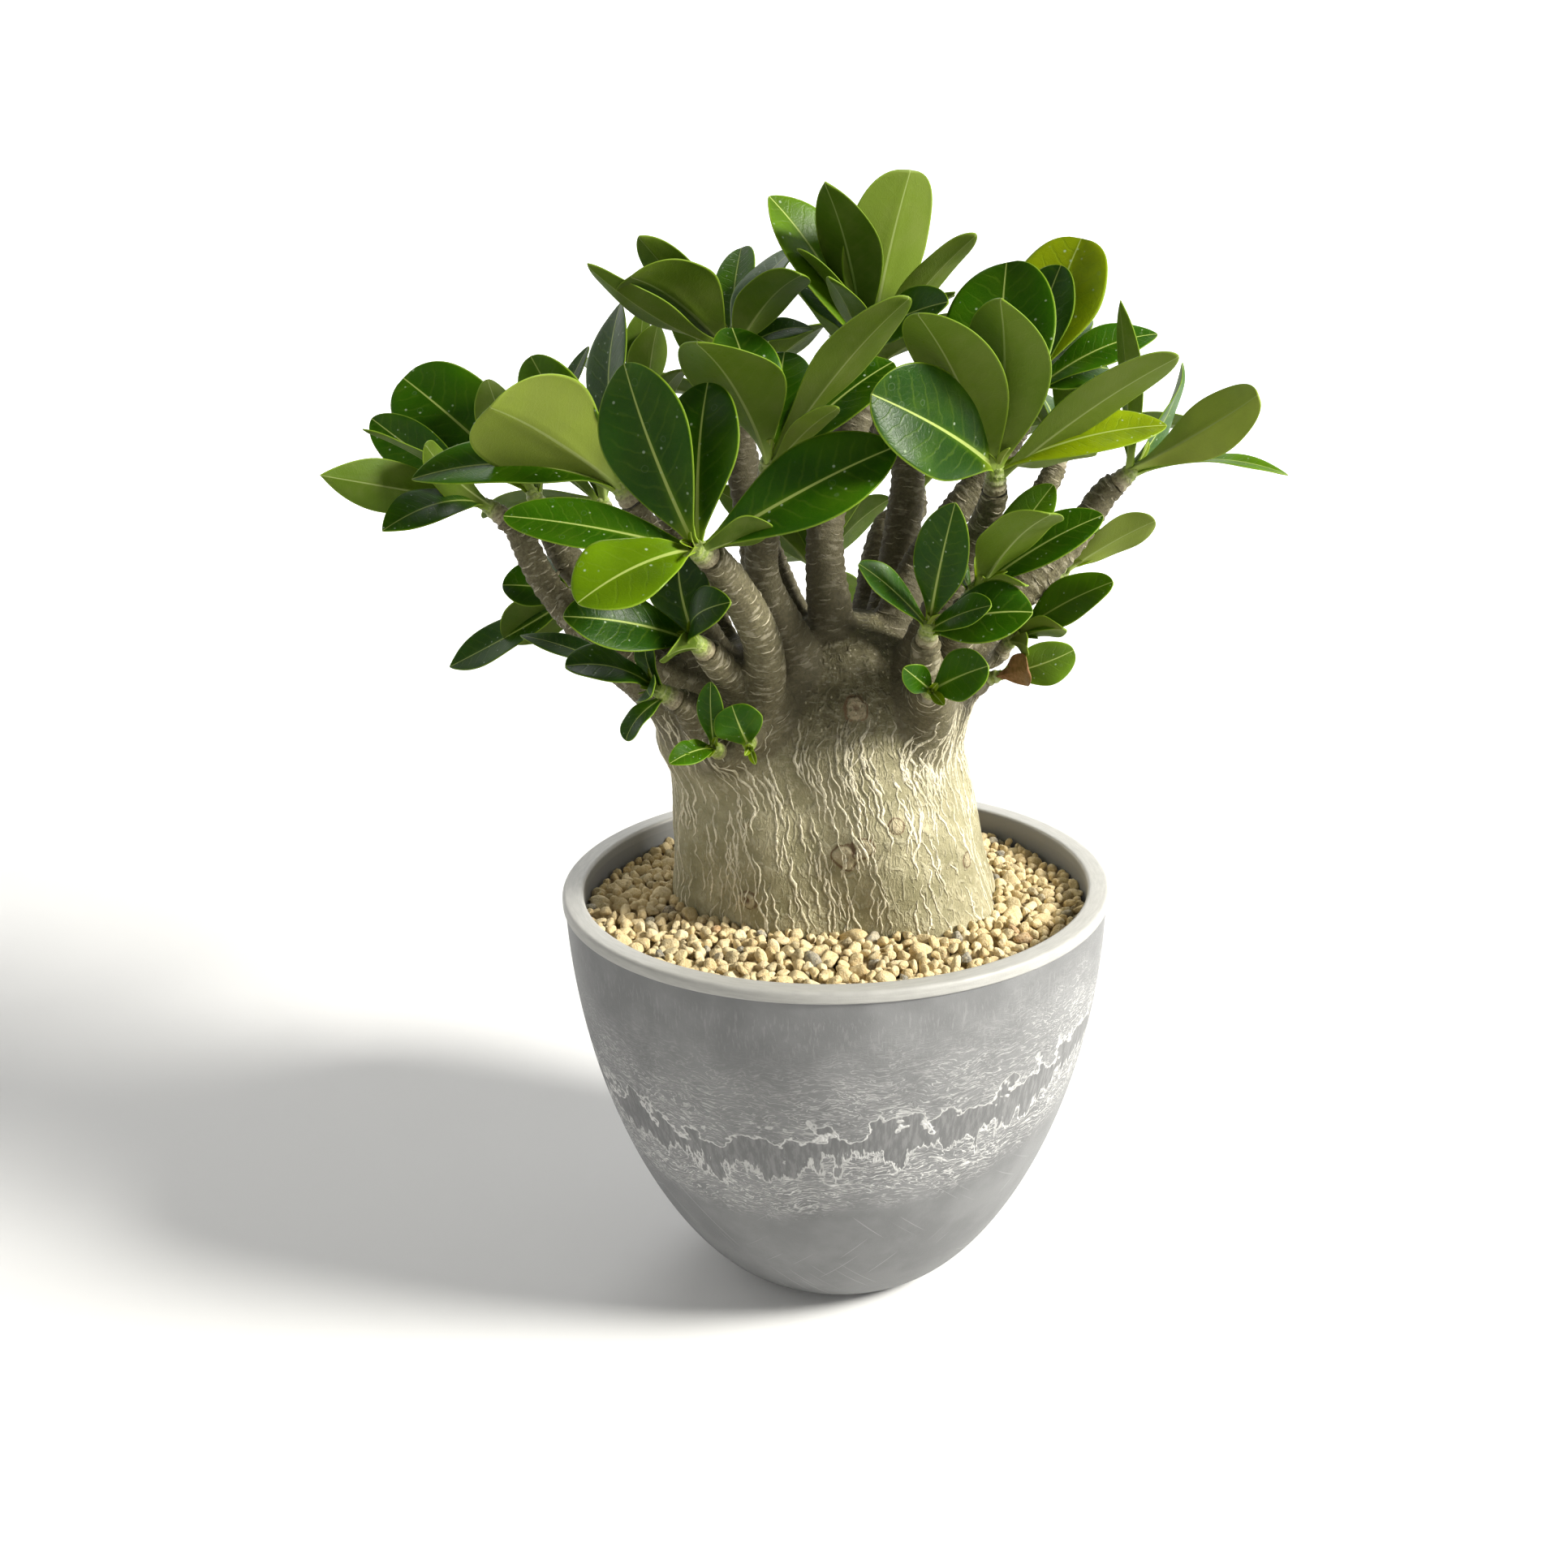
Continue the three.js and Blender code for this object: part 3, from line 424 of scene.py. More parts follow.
def trunk_place(p):
    """For each point, how far it is outside the trunk's outline, as a share, and that share per mm."""
    z = np.clip(p[:, 2], TRUNK_LOW, TRUNK_TOP)
    x, y, wide, deep = (np.interp(z, TRUNK[:, 0], TRUNK[:, k]) for k in range(1, 5))
    turn = math.radians(TRUNK_TURN)
    dx, dy = p[:, 0] - x, p[:, 1] - y
    u = (dx * math.cos(turn) + dy * math.sin(turn)) / wide
    v = (-dx * math.sin(turn) + dy * math.cos(turn)) / deep
    share = np.hypot(u, v)
    steep = np.hypot(u / wide, v / deep) / np.maximum(share, 0.05)
    return share - swell(np.arctan2(v, u), z), np.maximum(steep, 1e-3)


def trunk_distance(p):
    over, steep = trunk_place(p)
    lids = np.maximum(TRUNK_LOW - p[:, 2], p[:, 2] - TRUNK_TOP)
    return np.maximum(over / steep, lids)


def make_limbs(shoots):
    limbs = {}
    for name, (route, radii) in BRANCHES.items():
        tip, axis = shoots[name]
        end = tip - axis * (SHOOT_LENGTH + 0.3)
        points = [*route, end - 3 * axis, end]
        spine = catmull(points, PER_SPAN)
        places = np.arange(len(spine)) / PER_SPAN
        radius = np.interp(places, np.arange(len(points)), [*radii, radii[-1]])
        limbs[name] = (spine, radius)
    return limbs


def limb_frames(spine):
    """Two directions across the spine at each of its points, without a twist."""
    along = units(np.gradient(spine, axis=0))
    across = np.zeros_like(spine)
    last = np.array([0, 1, 0.2])
    for i, a in enumerate(along):
        last = unit(last - a * np.dot(last, a))
        across[i] = last
    return across, np.cross(along, across)


def limb_distance(p, spine, radius):
    """Distance to a tapering limb, the way out of it, and where along it the nearest point is."""
    start = spine[:-1]
    step = spine[1:] - start
    size = np.sum(step**2, 1)
    t = np.clip(np.einsum("nmk,mk->nm", p[:, None] - start, step) / size, 0, 1)
    near = start + t[..., None] * step
    away = p[:, None] - near
    far = np.linalg.norm(away, axis=2)
    r = radius[:-1] + (radius[1:] - radius[:-1]) * t
    best = np.argmin(far - r, 1)
    n = np.arange(len(p))
    way = away[n, best] / np.maximum(far[n, best], 1e-6)[:, None]
    return far[n, best] - r[n, best], way, best, t[n, best]


def body_distance(p, limbs, detail=False):
    """Distance to the softly merged trunk and limbs, and the way out.

    With detail also the trunk's share, the nearest limb, and the place on it: segment and share.
    """
    blend = np.interp(p[:, 2], [150, 172, 190, 215], [2.6, 2.3, 1.0, 0.6])
    d = trunk_distance(p)
    grad = units(np.stack([trunk_distance(p + np.eye(3)[k] * 0.05) - d for k in range(3)], 1))
    weight = np.exp(np.clip(-d / blend, -40, 40))
    total, out = weight.copy(), grad * weight[:, None]
    trunk_weight = weight.copy()
    nearest = np.full(len(p), np.inf)
    owner = np.full(len(p), -1)
    segment = np.zeros(len(p), int)
    share = np.zeros(len(p))
    for index, (spine, radius) in enumerate(limbs.values()):
        reach = radius.max() + 12
        inside = np.all((p > spine.min(0) - reach) & (p < spine.max(0) + reach), axis=1)
        if not inside.any():
            continue
        q = p[inside]
        dist, way, best, t = limb_distance(q, spine, radius)
        weight = np.exp(np.clip(-dist / blend[inside], -40, 40))
        total[inside] += weight
        out[inside] += way * weight[:, None]
        closer = dist < nearest[inside]
        rows = np.flatnonzero(inside)[closer]
        nearest[rows] = dist[closer]
        owner[rows], segment[rows], share[rows] = index, best[closer], t[closer]
    distance = -blend * np.log(np.maximum(total, 1e-30))
    if detail:
        return distance, units(out), trunk_weight / total, owner, segment, share
    return distance, units(out)


def settle(points, limbs, rounds):
    for _ in range(rounds):
        distance, out = body_distance(points, limbs)
        points = points - out * np.clip(distance, -3, 3)[:, None]
    return points


def remeshed(points, faces, voxel):
    piece = mesh_object("scratch", points, faces, [])
    remesh = piece.modifiers.new("remesh", "REMESH")
    remesh.mode = "VOXEL"
    remesh.voxel_size = voxel * MM
    mesh = evaluated(piece)
    result = read_mesh(mesh)
    bpy.data.meshes.remove(mesh)
    discard(piece)
    return result


def closed_tube(spine, radius, sides):
    across, other = limb_frames(spine)
    turn = 2 * math.pi * np.arange(sides) / sides
    ring = (
        spine[:, None]
        + across[:, None] * (radius[:, None] * np.cos(turn))[..., None]
        + other[:, None] * (radius[:, None] * np.sin(turn))[..., None]
    )
    points = np.concatenate([ring.reshape(-1, 3), spine[:1], spine[-1:]])
    return points, ring_faces(len(spine), sides), cap_faces(len(spine) * sides, sides)


def rough_body(limbs):
    """Trunk and limbs as overlapping closed solids."""
    rings = []
    turn = math.radians(TRUNK_TURN)
    angle = 2 * math.pi * np.arange(TRUNK_SIDES) / TRUNK_SIDES
    for z, x, y, wide, deep in TRUNK[::5]:
        ribs = swell(angle, z)
        u, v = wide * ribs * np.cos(angle), deep * ribs * np.sin(angle)
        rings.append(np.stack([
            x + u * math.cos(turn) - v * math.sin(turn),
            y + u * math.sin(turn) + v * math.cos(turn),
            np.full(TRUNK_SIDES, z),
        ], 1))
    points = [np.concatenate(rings + [rings[0].mean(0)[None], rings[-1].mean(0)[None]])]
    quads = [ring_faces(len(rings), TRUNK_SIDES)]
    triangles = cap_faces(len(rings) * TRUNK_SIDES, TRUNK_SIDES)
    base = len(points[0])
    for spine, radius in limbs.values():
        p, q, caps = closed_tube(spine, radius, LIMB_SIDES)
        points.append(p)
        quads.append(q + base)
        triangles += [cap + base for cap in caps]
        base += len(p)
    return np.concatenate(points), [np.concatenate(quads), np.concatenate(triangles)]


def split_faces(points, quads, chosen):
    """Cuts the chosen quads in four. Their neighbours become fans of triangles with the new points."""
    edges = np.sort(np.stack([quads, np.roll(quads, -1, 1)], -1), -1)
    keys = edges[..., 0].astype(np.int64) * len(points) + edges[..., 1]
    cut = np.unique(keys[chosen])
    a, b = cut // len(points), cut % len(points)
    first_edge = len(points)
    centre_first = first_edge + len(cut)
    middle = (points[a] + points[b]) / 2
    centres = points[quads[chosen]].mean(1)
    every = np.concatenate([points, middle, centres])
    place = np.clip(np.searchsorted(cut, keys), 0, len(cut) - 1)
    has = cut[place] == keys
    edge_point = np.where(has, first_edge + place, -1)
    q, e = quads[chosen], edge_point[chosen]
    c = centre_first + np.arange(len(q))
    small = np.concatenate([
        np.stack([q[:, k], e[:, k], c, e[:, (k + 3) % 4]], 1) for k in range(4)
    ])
    rest, rest_edge = quads[~chosen], edge_point[~chosen]
    touched = (rest_edge >= 0).any(1)
    plain = rest[~touched]
    fans = []
    for corners, extra in zip(rest[touched], rest_edge[touched]):
        loop = []
        for k in range(4):
            loop.append(corners[k])
            if extra[k] >= 0:
                loop.append(extra[k])
        start = next(i for i, v in enumerate(loop) if v >= first_edge)
        loop = loop[start:] + loop[:start]
        fans += [(loop[0], loop[i], loop[i + 1]) for i in range(1, len(loop) - 1)]
    faces = [np.concatenate([small, plain])]
    if fans:
        faces.append(np.array(fans))
    return every, faces


# Scars and knots on the bark: place, size, how far it stands out, and how dark its middle is.
SCARS = [
    (6.2, -22.8, 170.2, 2.9, 1.1, 0.55), (2.8, -27.9, 131.5, 3.2, 1.1, 0.3),
    (7.6, -28.8, 134.3, 2.7, 1.1, 0.6), (16.1, -27.7, 139.8, 1.9, 0.7, 0.2),
    (-22.8, -22.1, 117.9, 2.5, 0.9, 0.8), (35.0, -17.1, 126.1, 1.9, 0.6, 0.2),
    (-22.8, -22.5, 138.7, 0.9, 0.2, 1.0), (-29.7, -18.6, 158.1, 1.4, 0.4, 0.4),
    (19.7, -21.8, 157.2, 1.2, 0.4, 0.6), (-14.0, 27.0, 128.0, 2.0, 0.7, 0.6),
    (18.0, 24.0, 146.0, 1.8, 0.6, 0.6), (-36.0, 12.0, 140.0, 1.7, 0.5, 0.5),
]

LIMB_RING_SPACING = 2.5
LEAF_SCAR_STEP = 2.7
LEAF_SCAR_ROUNDS = 3
GOLDEN_ANGLE = 137.5
VEIN_COUNT, STRONG_VEIN_COUNT = 420, 34
VEIN_STEP = 0.7
VEIN_TOP = 168
VEIN_TURN_RADIUS = 36
RIDGE_LONGEST_STEP = 1.9


def carve_body(points, faces, limbs):
    """The bark's relief, and what its material needs to know at each point."""
    normals = vertex_normals(points, faces)
    _, _, on_trunk, owner, segment, share = body_distance(points, limbs, detail=True)
    lift = 0.55 * noise3(points, 1 / 17, 3) + 0.22 * noise3(points, 1 / 6.5, 4)

    # Thin rings lie along each limb.
    along, round_sin, rings, knot, pit = np.zeros((5, len(points)))
    round_cos = np.ones(len(points))
    for index, (spine, radius) in enumerate(limbs.values()):
        mine = np.flatnonzero(owner == index)
        if not len(mine):
            continue
        across, other = limb_frames(spine)
        lengths = lengths_along(spine)
        seg, t = segment[mine], share[mine]
        s = lengths[seg] + t * (lengths[seg + 1] - lengths[seg])
        near = spine[seg] + t[:, None] * (spine[seg + 1] - spine[seg])
        away = points[mine] - near
        c = np.einsum("ij,ij->i", away, across[seg])
        d = np.einsum("ij,ij->i", away, other[seg])
        phi = np.arctan2(d, c)
        r = np.interp(s, lengths, radius)
        wander = 1.1 * noise3(points[mine], 1 / 5.0, 20 + index)
        old = smoothstep(0, 0.55, s / lengths[-1])
        rings[mine] = np.sin((s + wander) * 2 * math.pi / LIMB_RING_SPACING) * old
        along[mine], round_cos[mine], round_sin[mine] = s, r * np.cos(phi), r * np.sin(phi)
    limb = 1 - smoothstep(0.25, 0.7, on_trunk)
    lift = lift + limb * 0.2 * rings

    # A knot is a low button with a sunken middle.
    for x, y, height, size, rise, dark in SCARS:
        away = np.linalg.norm(points - np.array([x, y, height]), axis=1)
        away = away + 0.3 * size * noise3(points, 1 / 2.0, 77)
        button = np.exp(-((away / (0.95 * size)) ** 4))
        core = np.exp(-((away / (0.3 * size)) ** 2))
        mound = np.exp(-((away / (1.7 * size)) ** 2))
        lift = lift + rise * (0.4 * mound + 0.6 * button - 0.5 * core)
        knot = np.maximum(knot, button)
        outline = np.exp(-(((away - 1.05 * size) / (0.16 * size)) ** 2))
        pit = np.maximum(pit, dark * core + 0.75 * outline)
    points = points + normals * lift[:, None]
    attributes = {
        "bark_place": np.stack([along, round_cos, round_sin], 1),
        "bark_marks": np.stack([0 * limb, 0 * limb, limb], 1),
        "bark_knots": np.stack([knot, pit, 0 * limb], 1),
    }
    return points, attributes


class Ridges:
    """Thin raised ridges laid on the finished bark."""

    def __init__(self, points, faces):
        polygons = [face for group in faces for face in group.tolist()]
        self.tree = BVHTree.FromPolygons(points.tolist(), polygons)
        self.points, self.quads, self.marks, self.count = [], [], [], 0

    def lay(self, rays, half, height, mark, rough):
        """A ridge through the places where the rays (origins, headings) meet the bark."""
        found = []
        for origin, heading, reach in rays:
            place, normal, _, _ = self.tree.ray_cast(Vector(origin), Vector(heading), reach)
            if place is None or (found and (place - found[-1][0]).length > RIDGE_LONGEST_STEP):
                break
            found.append((place, normal))
        if len(found) < 4:
            return
        p = np.array([place for place, _ in found])
        n = np.array([normal for _, normal in found])
        n[1:-1] = n[:-2] + n[1:-1] + n[2:]
        n = units(n)
        b = units(np.cross(n, np.gradient(p, axis=0)))
        u = np.linspace(0, 1, len(p))
        taper = np.sin(math.pi * np.clip(u, 0.015, 0.985)) ** 0.45
        w = (half * taper * rough.uniform(0.6, 1.4, len(p)))[:, None]
        h = (height * taper * rough.uniform(0.8, 1.2, len(p)))[:, None]
        rows = [
            p - 1.6 * b * w - 0.15 * n, p - 0.9 * b * w + n * h,
            p + 0.9 * b * w + n * h, p + 1.6 * b * w - 0.15 * n,
        ]
        self.points.append(np.stack(rows, 1).reshape(-1, 3))
        sides = ring_faces(len(p), 4)[:, [0, 3, 2, 1]]
        last = 4 * (len(p) - 1)
        caps = np.array([[0, 1, 2, 3], [last + 3, last + 2, last + 1, last]])
        self.quads.append(np.concatenate([sides, caps]) + self.count)
        shade = np.tile([0.25, 1, 1, 0.25], len(p))
        self.marks.append(np.stack([shade * value for value in mark], 1))
        self.marks[-1][:, 2] = mark[2]
        self.count += 4 * len(p)


def lay_veins(ridges):
    """Pale veins run up the trunk, wander and fork."""
    random = np.random.default_rng(11)
    starts = [
        (random.uniform(0, 360), random.uniform(97, 160),
         random.gamma(3, 3.0) + 4, random.uniform(0.28, 0.64))
        for _ in range(VEIN_COUNT)
    ]
    # The strongest ones are at the right, under the lowest limbs.
    starts += [
        (random.uniform(-75, 5), random.uniform(122, 150),
         random.uniform(14, 30), random.uniform(0.5, 0.8))
        for _ in range(STRONG_VEIN_COUNT)
    ]
    while starts:
        bearing, z, length, half = starts.pop()
        drift, bend = random.normal(0, 0.035), 0.0
        pace, phase = random.uniform(0.8, 1.7), random.uniform(0, 6.28)
        rays = []
        for step in range(int(length / VEIN_STEP)):
            bend = 0.55 * bend + random.normal(0, 0.26)
            sideways = drift + bend + 0.31 * math.sin(phase + step * VEIN_STEP * pace)
            bearing += math.degrees(sideways * VEIN_STEP / VEIN_TURN_RADIUS)
            z += VEIN_STEP
            if z > VEIN_TOP:
                break
            x, y = (float(np.interp(z, TRUNK[:, 0], TRUNK[:, k])) for k in (1, 2))
            aim = direction(bearing, 0)
            rays.append((np.array([x, y, z]) + 58 * aim, -aim, 40))
            if random.uniform() < 0.012 and length > 12:
                starts.append((bearing, z, length * 0.4, half * 0.8))
        ridges.lay(rays, 0.5 * half, 0.11 + 0.2 * half, (1, 0, 0), random)


def lay_leaf_scars(ridges, limbs):
    """Pale scars of fallen leaves wind up each limb."""
    for index, (spine, radius) in enumerate(limbs.values()):
        random = np.random.default_rng(100 + index)
        across, other = limb_frames(spine)
        lengths = lengths_along(spine)
        for k in range(int(lengths[-1] / LEAF_SCAR_STEP) * LEAF_SCAR_ROUNDS):
            back = (k // LEAF_SCAR_ROUNDS) * LEAF_SCAR_STEP
            s = lengths[-1] - 1.0 - back + random.uniform(-0.7, 0.7)
            bearing = math.radians(k * GOLDEN_ANGLE) + random.uniform(-0.3, 0.3)
            half = random.uniform(1.2, 2.3)
            seg = int(np.clip(np.searchsorted(lengths, s) - 1, 0, len(spine) - 2))
            if s < 2:
                continue
            r = float(np.interp(s, lengths, radius))
            rays = []
            for u in np.linspace(-1, 1, 7):
                turn = bearing + u * min(1.2, half / r)
                sag = s + 0.3 * u * u + random.normal(0, 0.08)
                share = (sag - lengths[seg]) / (lengths[seg + 1] - lengths[seg])
                place = spine[seg] + share * (spine[seg + 1] - spine[seg])
                aim = math.cos(turn) * across[seg] + math.sin(turn) * other[seg]
                rays.append((place + (r + 2.2) * aim, -aim, 4.0))
            half, height = random.uniform(0.1, 0.17), random.uniform(0.08, 0.16)
            ridges.lay(rays, half, height, (0, random.uniform(0.5, 1), 1), random)


def make_body(shoots, material):
    limbs = make_limbs(shoots)
    points, faces = rough_body(limbs)
    for voxel, rounds in BODY_VOXELS:
        points, faces = remeshed(points, faces, voxel)
        points = settle(points, limbs, rounds)

    # The bark on the trunk's sides gets a finer mesh.
    quads = next(f for f in faces if f.shape[1] == 4)
    centre = points[quads].mean(1)
    over, _ = trunk_place(centre)
    low, high = FINE_BARK
    chosen = (centre[:, 2] > low) & (centre[:, 2] < high) & (np.abs(over) < 0.12)
    points, faces = split_faces(points, quads, chosen)
    points = settle(points, limbs, 1)
    points, attributes = carve_body(points, faces, limbs)
    ridges = Ridges(points, faces)
    lay_veins(ridges)
    lay_leaf_scars(ridges, limbs)
    faces = [*faces, np.concatenate(ridges.quads) + len(points)]
    points = np.concatenate([points, *ridges.points])
    marks = {"bark_marks": np.concatenate(ridges.marks)}
    for name, values in attributes.items():
        extra = marks.get(name, np.zeros((ridges.count, 3)))
        attributes[name] = np.concatenate([values, extra])
    return mesh_object("caudex", points, faces, [material], attributes)


# ------------------------------------------------------------------ leaves

REAR_LEAVES = 6


def cad_random(seed):
    """The CAD's own draws."""
    state = seed
    while True:
        state = (state * 1664525 + 1013904223) % 4294967296
        yield state / 4294967296


def rear_leaves(grows, seed):
    """The same leaves as the CAD draws for a rosette at the back."""
    random = cad_random(seed)
    leaves = []
    for index in range(REAR_LEAVES):
        young = index / (REAR_LEAVES - 1)
        spread = 74 + (24 - 74) * young + 8 * next(random)
        length = 38 + (24 - 38) * young + 5 * next(random)
        width = length * (0.36 + 0.1 * next(random))
        way = splayed(grows, index * GOLDEN_ANGLE + seed * 40, spread)
        pointedness = 0.45 + 0.3 * next(random)
        leaves.append((*way, length, width, 0, 3, pointedness, 0.15 + 0.3 * young))
    return leaves


LEAF_ROWS = 28
COLUMNS = np.array([-1, -0.94, -0.8, -0.58, -0.34, -0.14, 0, 0.14, 0.34, 0.58, 0.8, 0.94, 1])
YOUNG_LEAVES = 4
SHOOT_SIDES = 16
DRY = -1


def leaf_half_width(t, width, pointedness):
    rising = np.sin(0.5 * math.pi * np.minimum(1, t / WIDEST_PLACE) ** 1.2)
    beyond = np.maximum(0, (t - WIDEST_PLACE) / (1 - WIDEST_PLACE))
    blade = 0.5 * width * rising * np.maximum(1 - beyond**2, 0) ** pointedness
    stalk = (STALK_HALF_WIDTH + 0.012 * width) * (1 - 0.4 * t) * np.sqrt(np.clip(1 - t, 0, 1))
    return np.maximum((blade**4 + stalk**4) ** 0.25, 0.06)


def leaf(tip, axis, spec, index, random, slim=1.0):
    """One leaf: points and quads, and each point's place, tone and share of the length."""
    heading, rise, length, width, roll, arch, pointedness, tone = spec
    along = direction(heading, rise)
    normal = turned(unit(axis - along * np.dot(axis, along)), along, roll)
    side = np.cross(along, normal)
    root = tip - axis * (1 + index % 4)
    end = tip + along * length
    u = np.linspace(0, 1, LEAF_ROWS)
    t = 1 - (1 - u) ** 1.55
    half = leaf_half_width(t, width, pointedness)
    c = COLUMNS
    place = half[:, None] * c
    centre = root + (end - root) * t[:, None] + normal * (arch * 4 * t * (1 - t))[:, None]
    size = min(1, width / 20)
    wave = 0.35 * np.sin(9 * t + 1.7 * index) * np.minimum(1, half / 4)
    ripple = random.uniform(0.25, 0.55) * size * np.sin(
        random.uniform(9, 14) * t + random.uniform(0, 6.28)) * np.minimum(1, half / 4)
    droop = random.uniform(0.3, 1.4) * size * np.maximum(0, t - 0.55) ** 2 / 0.2
    bow = np.abs(c) ** 1.35
    height = (
        TROUGH * half[:, None] * bow
        + wave[:, None] * c
        + ripple[:, None] * c**2 * np.sign(c + 0.001)
        - 0.05 * half[:, None] * np.abs(c) ** 7
        - droop[:, None]
    )
    narrow = min(1, max(0.45, width / 20))
    groove = 0.22 * narrow * np.exp(-((place / (0.9 * narrow)) ** 2)) * (1 - t[:, None]) ** 0.5
    body = 0.62 * slim * (1 - 0.68 * np.abs(c) ** 4) * np.ones_like(place)
    stalk = np.exp(-((t / 0.09) ** 2))[:, None]
    rib = (0.7 * (1 - t[:, None]) ** 0.8 + 0.08) * np.exp(
        -((place / (narrow * (0.45 + 0.65 * (1 - t[:, None])))) ** 2))
    thick = body + slim * narrow * rib + slim * 0.9 * stalk * (1 - 0.7 * c**2)
    fade = np.minimum(1, half / 1.2)[:, None]
    top = centre[:, None] + side * place[..., None] + normal * (height - groove * fade)[..., None]
    low = top - normal * (thick * (0.35 + 0.65 * fade))[..., None]
    wide = len(c)
    points = np.concatenate([top.reshape(-1, 3), low.reshape(-1, 3)])
    count = LEAF_ROWS * wide
    up = ring_faces(LEAF_ROWS, wide, closed=False)
    quads = [up, up[:, [0, 3, 2, 1]] + count]
    grid = np.arange(count).reshape(LEAF_ROWS, wide)
    for edge, ahead in ((grid[:, 0], True), (grid[:, -1], False), (grid[0], False), (grid[-1], True)):
        a, b = edge[:-1], edge[1:]
        rim = [a, b, count + b, count + a] if ahead else [a, count + a, count + b, b]
        quads.append(np.stack(rim, 1))
    seed = random.uniform(0, 50)
    x, v, h, share = (
        np.tile(values.ravel(), 2)
        for values in (place, np.repeat(t * length, wide), np.repeat(half, wide), np.repeat(t, wide)))
    is_under = np.repeat([0.0, 1.0], count)
    tones = np.stack([np.full(2 * count, tone), is_under, np.full(2 * count, seed)], 1)
    return points, np.concatenate(quads), np.stack([x, v, h], 1) / narrow, tones, share


def make_rosette(name, tip, grows, leaves, shoot_radius, seed, materials):
    random = np.random.default_rng(seed)
    tip = np.array(tip, float)
    axis = direction(*grows)
    parts = [leaf(tip, axis, spec, index, random) for index, spec in enumerate(leaves)]

    # Four small young leaves stand in the middle. One of them is dry.
    for index in range(YOUNG_LEAVES):
        spread = random.uniform(18, 42) - 5 * index
        turn = index * GOLDEN_ANGLE + random.uniform(0, 40)
        length = (random.uniform(6.5, 9) - 1.3 * index) * min(1, shoot_radius / 2.6)
        tone = DRY if name == "front_left" and index == 3 else 0.8
        spec = (*splayed(grows, turn, spread), length, length * 0.36, 0, 0.5, 0.6, tone)
        parts.append(leaf(tip - axis * 0.5, axis, spec, 0, random, slim=0.6))
    points, quads, places, tones, shares = (list(column) for column in zip(*parts))
    *starts, base = np.cumsum([0] + [len(p) for p in points])
    quads = [q + start for q, start in zip(quads, starts)]
    leaf_quads = sum(len(q) for q in quads)

    # The green shoot, ringed by the scars of lost leaves.
    steps = np.linspace(0, 1, 22)
    spine = tip - axis * (SHOOT_LENGTH * (1 - steps))[:, None]
    radius = shoot_radius * (1 - 0.42 * steps**1.6) + 0.13 * np.sin(steps * 24 + seed)
    radius[-1] = 0.5
    p, q, caps = closed_tube(spine, radius, SHOOT_SIDES)
    p = p + 0.25 * noise3(p, 1 / 1.6, seed)[:, None] * unit(axis + 0.01)
    points.append(p)
    quads.append(q + base)
    triangles = np.concatenate(caps) + base
    up = np.concatenate([np.repeat(steps, SHOOT_SIDES), [0, 1]])
    places.append(np.stack([np.zeros(len(p)), up * SHOOT_LENGTH, np.full(len(p), 3.0)], 1))
    tones.append(np.tile([0.6, 0.0, seed], (len(p), 1)))
    shares.append(up)
    all_quads = np.concatenate(quads)
    slots = np.repeat([0, 1], [leaf_quads, len(q) + len(triangles)])
    attributes = {
        "leaf_place": np.concatenate(places),
        "leaf_tone": np.concatenate(tones),
        "leaf_share": np.concatenate(shares),
    }
    return mesh_object(
        f"leaves_{name}", np.concatenate(points), [all_quads, triangles], materials, attributes, slots)


# ------------------------------------------------------------------ pot


def bowl_radius(height):
    fullness = 1 - (1 - height / POT_HEIGHT) ** BOWL_FULLNESS
    return FOOT_RADIUS + (RIM_RADIUS - RIM_STEP - FOOT_RADIUS) * fullness ** (1 / BOWL_ROUNDNESS)


def inner_radius(height):
    if height > POT_HEIGHT - RIM_BAND:
        return RIM_INNER_RADIUS
    return min(bowl_radius(height) - WALL, RIM_INNER_RADIUS)


def rounded(profile, corners):
    """Replaces the listed corners of an outline, each with how far it is cut, by short curves."""
    out = []
    for i, p in enumerate(profile):
        r = corners.get(i)
        if r is None:
            out.append(p)
            continue
        p = np.array(p, float)
        before, after = np.array(profile[i - 1], float), np.array(profile[i + 1], float)
        a = p + unit(before - p) * r
        b = p + unit(after - p) * r
        for t in np.linspace(0, 1, 6):
            out.append(tuple((1 - t) ** 2 * a + 2 * t * (1 - t) * p + t * t * b))
    return out


def lathe(profile, sides):
    """Points and quads of an outline, radius and height, turned round the axis."""
    angle = 2 * math.pi * np.arange(sides) / sides
    profile = np.array(profile, float)
    ring = np.stack([
        profile[:, :1] * np.cos(angle), profile[:, :1] * np.sin(angle),
        np.repeat(profile[:, 1:], sides, 1),
    ], -1)
    return ring.reshape(-1, 3), ring_faces(len(profile), sides)


POT_SIDES = 256
FOOT_RISE = 0.6
DISC_SIDES = 40
DISC_RADIUS = 3.5
DISC_DEPTH = 1.2
DISC_PLACE = 17


